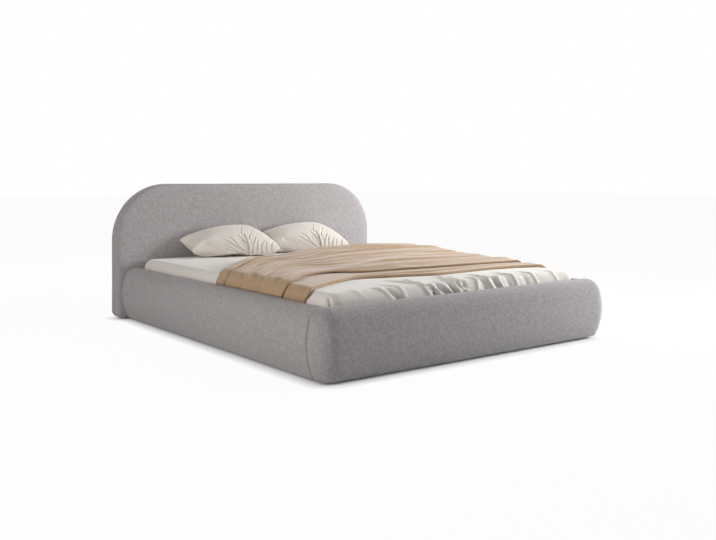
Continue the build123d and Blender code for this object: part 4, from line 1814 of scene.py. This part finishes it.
@dataclass(frozen=True)
class Hardware:
    """The pieces that keep their CAD shape, with the finish of each."""

    effects: Effects

    def _finishes(self) -> dict[Finish, tuple[str, ...]]:
        """Each finish with the starts of the names that wear it.

        Returns:
            The starts of the names by finish.
        """
        return {
            PINE_ACROSS: ("slat_0", "slat_1", "headboard_foot_batten", "headboard_middle", "headboard_top"),
            PINE_ALONG: ("centre_beam",),
            PINE_UPRIGHT: ("headboard_outer_post", "headboard_inner_post", "centre_leg"),
            BOARD: (
                "headboard_front_board",
                "footboard_board",
                "side_rail_left_board",
                "side_rail_right_board",
            ),
            FOAM: ("headboard_foam", "footboard_foam", "side_rail_left_foam", "side_rail_right_foam"),
            LINING: ("headboard_back_lining",),
            WEBBING: ("slat_strap",),
            COATED_STEEL: ("corner_bracket", "beam_hanger", "side_rail_left_ledge", "side_rail_right_ledge"),
            ZINC: ("frame_bolts", "ledge_screws"),
            GLIDE_PLASTIC: (
                "levelling_foot",
                "headboard_glides",
                "footboard_glides",
                "side_rail_left_glides",
                "side_rail_right_glides",
            ),
        }

    def dress(self, nodes: dict[str, bpy.types.Object]) -> int:
        """Give every such piece its finish.

        Args:
            nodes: The CAD nodes by name.

        Returns:
            The number of pieces dressed.
        """
        count = 0
        for finish, starts in self._finishes().items():
            material = finish.material(self.effects)
            for name, node in nodes.items():
                if name.startswith(starts):
                    node.data.materials.clear()
                    node.data.materials.append(material)
                    count += 1
        return count


# Floor, light and camera


COOL_LIGHT = (0.94, 0.97, 1.0)
WARM_LIGHT = (1.0, 0.985, 0.965)
PLAIN_LIGHT = (1.0, 1.0, 1.0)


@dataclass(frozen=True)
class Lamp:
    """One soft lamp."""

    name: str
    place: Point
    target: Point
    size: Pair
    power: float
    colour: Triple = PLAIN_LIGHT

    def build(self) -> bpy.types.Object:
        """Hang the lamp and turn it to its target.

        Returns:
            The lamp.
        """
        light = bpy.data.lights.new(self.name, "AREA")
        light.shape = "RECTANGLE"
        light.size, light.size_y = self.size
        light.energy = self.power
        light.color = self.colour
        lamp = bpy.data.objects.new(self.name, light)
        lamp.location = self.place
        away = Vector(self.place) - Vector(self.target)
        lamp.rotation_euler = away.to_track_quat("Z", "Y").to_euler()
        bpy.context.scene.collection.objects.link(lamp)
        return lamp


LAMPS = (
    Lamp("key", (3.2, -2.1, 1.2), (0.6, -1.1, 0.2), (1.4, 1.2), 122.0, COOL_LIGHT),
    Lamp("overhead", (1.8, -0.3, 3.2), (0.4, -0.2, 0.3), (2.0, 2.0), 31.0),
    Lamp("bedside", (2.0, 0.0, 1.5), (0.4, 0.9, 0.5), (1.2, 1.2), 23.0),
    Lamp("side_fill", (-4.0, -0.8, 1.5), (-0.85, -0.3, 0.15), (2.4, 1.8), 64.0, WARM_LIGHT),
    Lamp("back_fill", (0.4, 4.6, 1.8), (0.0, 1.2, 0.3), (3.0, 2.0), 53.0),
)


@dataclass
class Studio:
    """A pale floor, soft light and the camera."""

    floor_half: float = 40.0
    sky_strength: float = 0.175
    floor_colour: Colour = srgb(236, 236, 236)
    floor_share: float = 0.965
    contact_reach: float = 0.07
    camera_place: Point = (-2.8217, -3.8847, 0.8437)
    camera_turn: float = 0.6523
    focal_pixels: float = 837.53
    picture_width: float = 716.0
    sensor: float = 36.0
    shift: Pair = (-0.00938, -0.1265)
    sight: float = 200.0

    def build(self) -> None:
        """Make the floor, the world, the lamps and the camera."""
        self._floor()
        self._world()
        for lamp in LAMPS:
            lamp.build()
        self._camera()
        bpy.context.scene.view_settings.view_transform = "Standard"

    def _floor(self) -> None:
        """A white floor that keeps the bed's shadow."""
        bm = bmesh.new()
        bmesh.ops.create_grid(bm, x_segments=1, y_segments=1, size=self.floor_half)
        mesh = bpy.data.meshes.new("floor")
        bm.to_mesh(mesh)
        bm.free()
        floor = bpy.data.objects.new("floor", mesh)
        bpy.context.scene.collection.objects.link(floor)
        material = bpy.data.materials.new("floor_white")
        material.use_nodes = True
        tree = material.node_tree
        tree.nodes.clear()
        bench = NodeBench(tree)
        lit = bench.add("ShaderNodeBsdfDiffuse", {"Color": self.floor_colour}).outputs[0]
        seen = bench.add("ShaderNodeEmission", {"Color": (1, 1, 1, 1), "Strength": 1.0}).outputs[0]
        paths = bench.add("ShaderNodeLightPath").outputs
        directly = bench.math("MAXIMUM", paths["Is Camera Ray"], paths["Is Glossy Ray"])
        open_share = bench.add("ShaderNodeAmbientOcclusion", {"Distance": self.contact_reach}).outputs["AO"]
        share = bench.math("MULTIPLY", bench.math("MULTIPLY", directly, self.floor_share), open_share)
        mixed = bench.add("ShaderNodeMixShader", {0: share, 1: lit, 2: seen}).outputs[0]
        bench.add("ShaderNodeOutputMaterial", {0: mixed})
        mesh.materials.append(material)

    def _world(self) -> None:
        """An even sky that the camera sees as white."""
        world = bpy.data.worlds.new("studio")
        bpy.context.scene.world = world
        world.use_nodes = True
        tree = world.node_tree
        tree.nodes.clear()
        bench = NodeBench(tree)
        paths = bench.add("ShaderNodeLightPath").outputs
        seen = bench.math("MAXIMUM", paths["Is Camera Ray"], paths["Is Glossy Ray"])
        seen = bench.math("MAXIMUM", seen, paths["Is Transmission Ray"])
        strength = bench.math("MULTIPLY_ADD", seen, 1.0 - self.sky_strength, self.sky_strength)
        sky = bench.add("ShaderNodeBackground", {0: (1, 1, 1, 1), 1: strength}).outputs[0]
        bench.add("ShaderNodeOutputWorld", {0: sky})

    def _camera(self) -> None:
        """The camera where the photograph was taken from."""
        lens = bpy.data.cameras.new("camera")
        lens.sensor_width = self.sensor
        lens.lens = self.focal_pixels / self.picture_width * self.sensor
        lens.shift_x, lens.shift_y = self.shift
        lens.clip_end = self.sight
        camera = bpy.data.objects.new("camera", lens)
        camera.location = self.camera_place
        camera.rotation_euler = (math.pi / 2, 0.0, -self.camera_turn)
        bpy.context.scene.collection.objects.link(camera)
        bpy.context.scene.camera = camera


def main() -> None:
    """Build the bed piece by piece."""
    logging.basicConfig(level=logging.INFO, format="%(name)s %(message)s")
    effects = Effects(heather_effect(), linen_effect(), grain_effect(), speckle_effect())
    Studio().build()
    dressed = Hardware(effects).dress(frame["nodes"])
    log.info("dressed %d CAD pieces", dressed)
    heather = UPHOLSTERY.material(effects)
    pillow_linen = PILLOW_LINEN.material(effects)
    makers: list[SideRail | Footboard | Headboard | Mattress | FittedSheet | Throw | Pillow] = [
        SideRail(Side.LEFT, heather),
        SideRail(Side.RIGHT, heather),
        Footboard(heather),
        Headboard(heather),
        Mattress(TICKING.material(effects)),
        FittedSheet(SHEET_LINEN.material(effects)),
        Throw(THROW_LINEN.material(effects)),
        Pillow(Side.LEFT, pillow_linen),
        Pillow(Side.RIGHT, pillow_linen),
    ]
    for maker in makers:
        piece = maker.build()
        log.info("%s has %d faces", piece.name, len(piece.data.polygons))


if __name__ == "__main__":
    main()
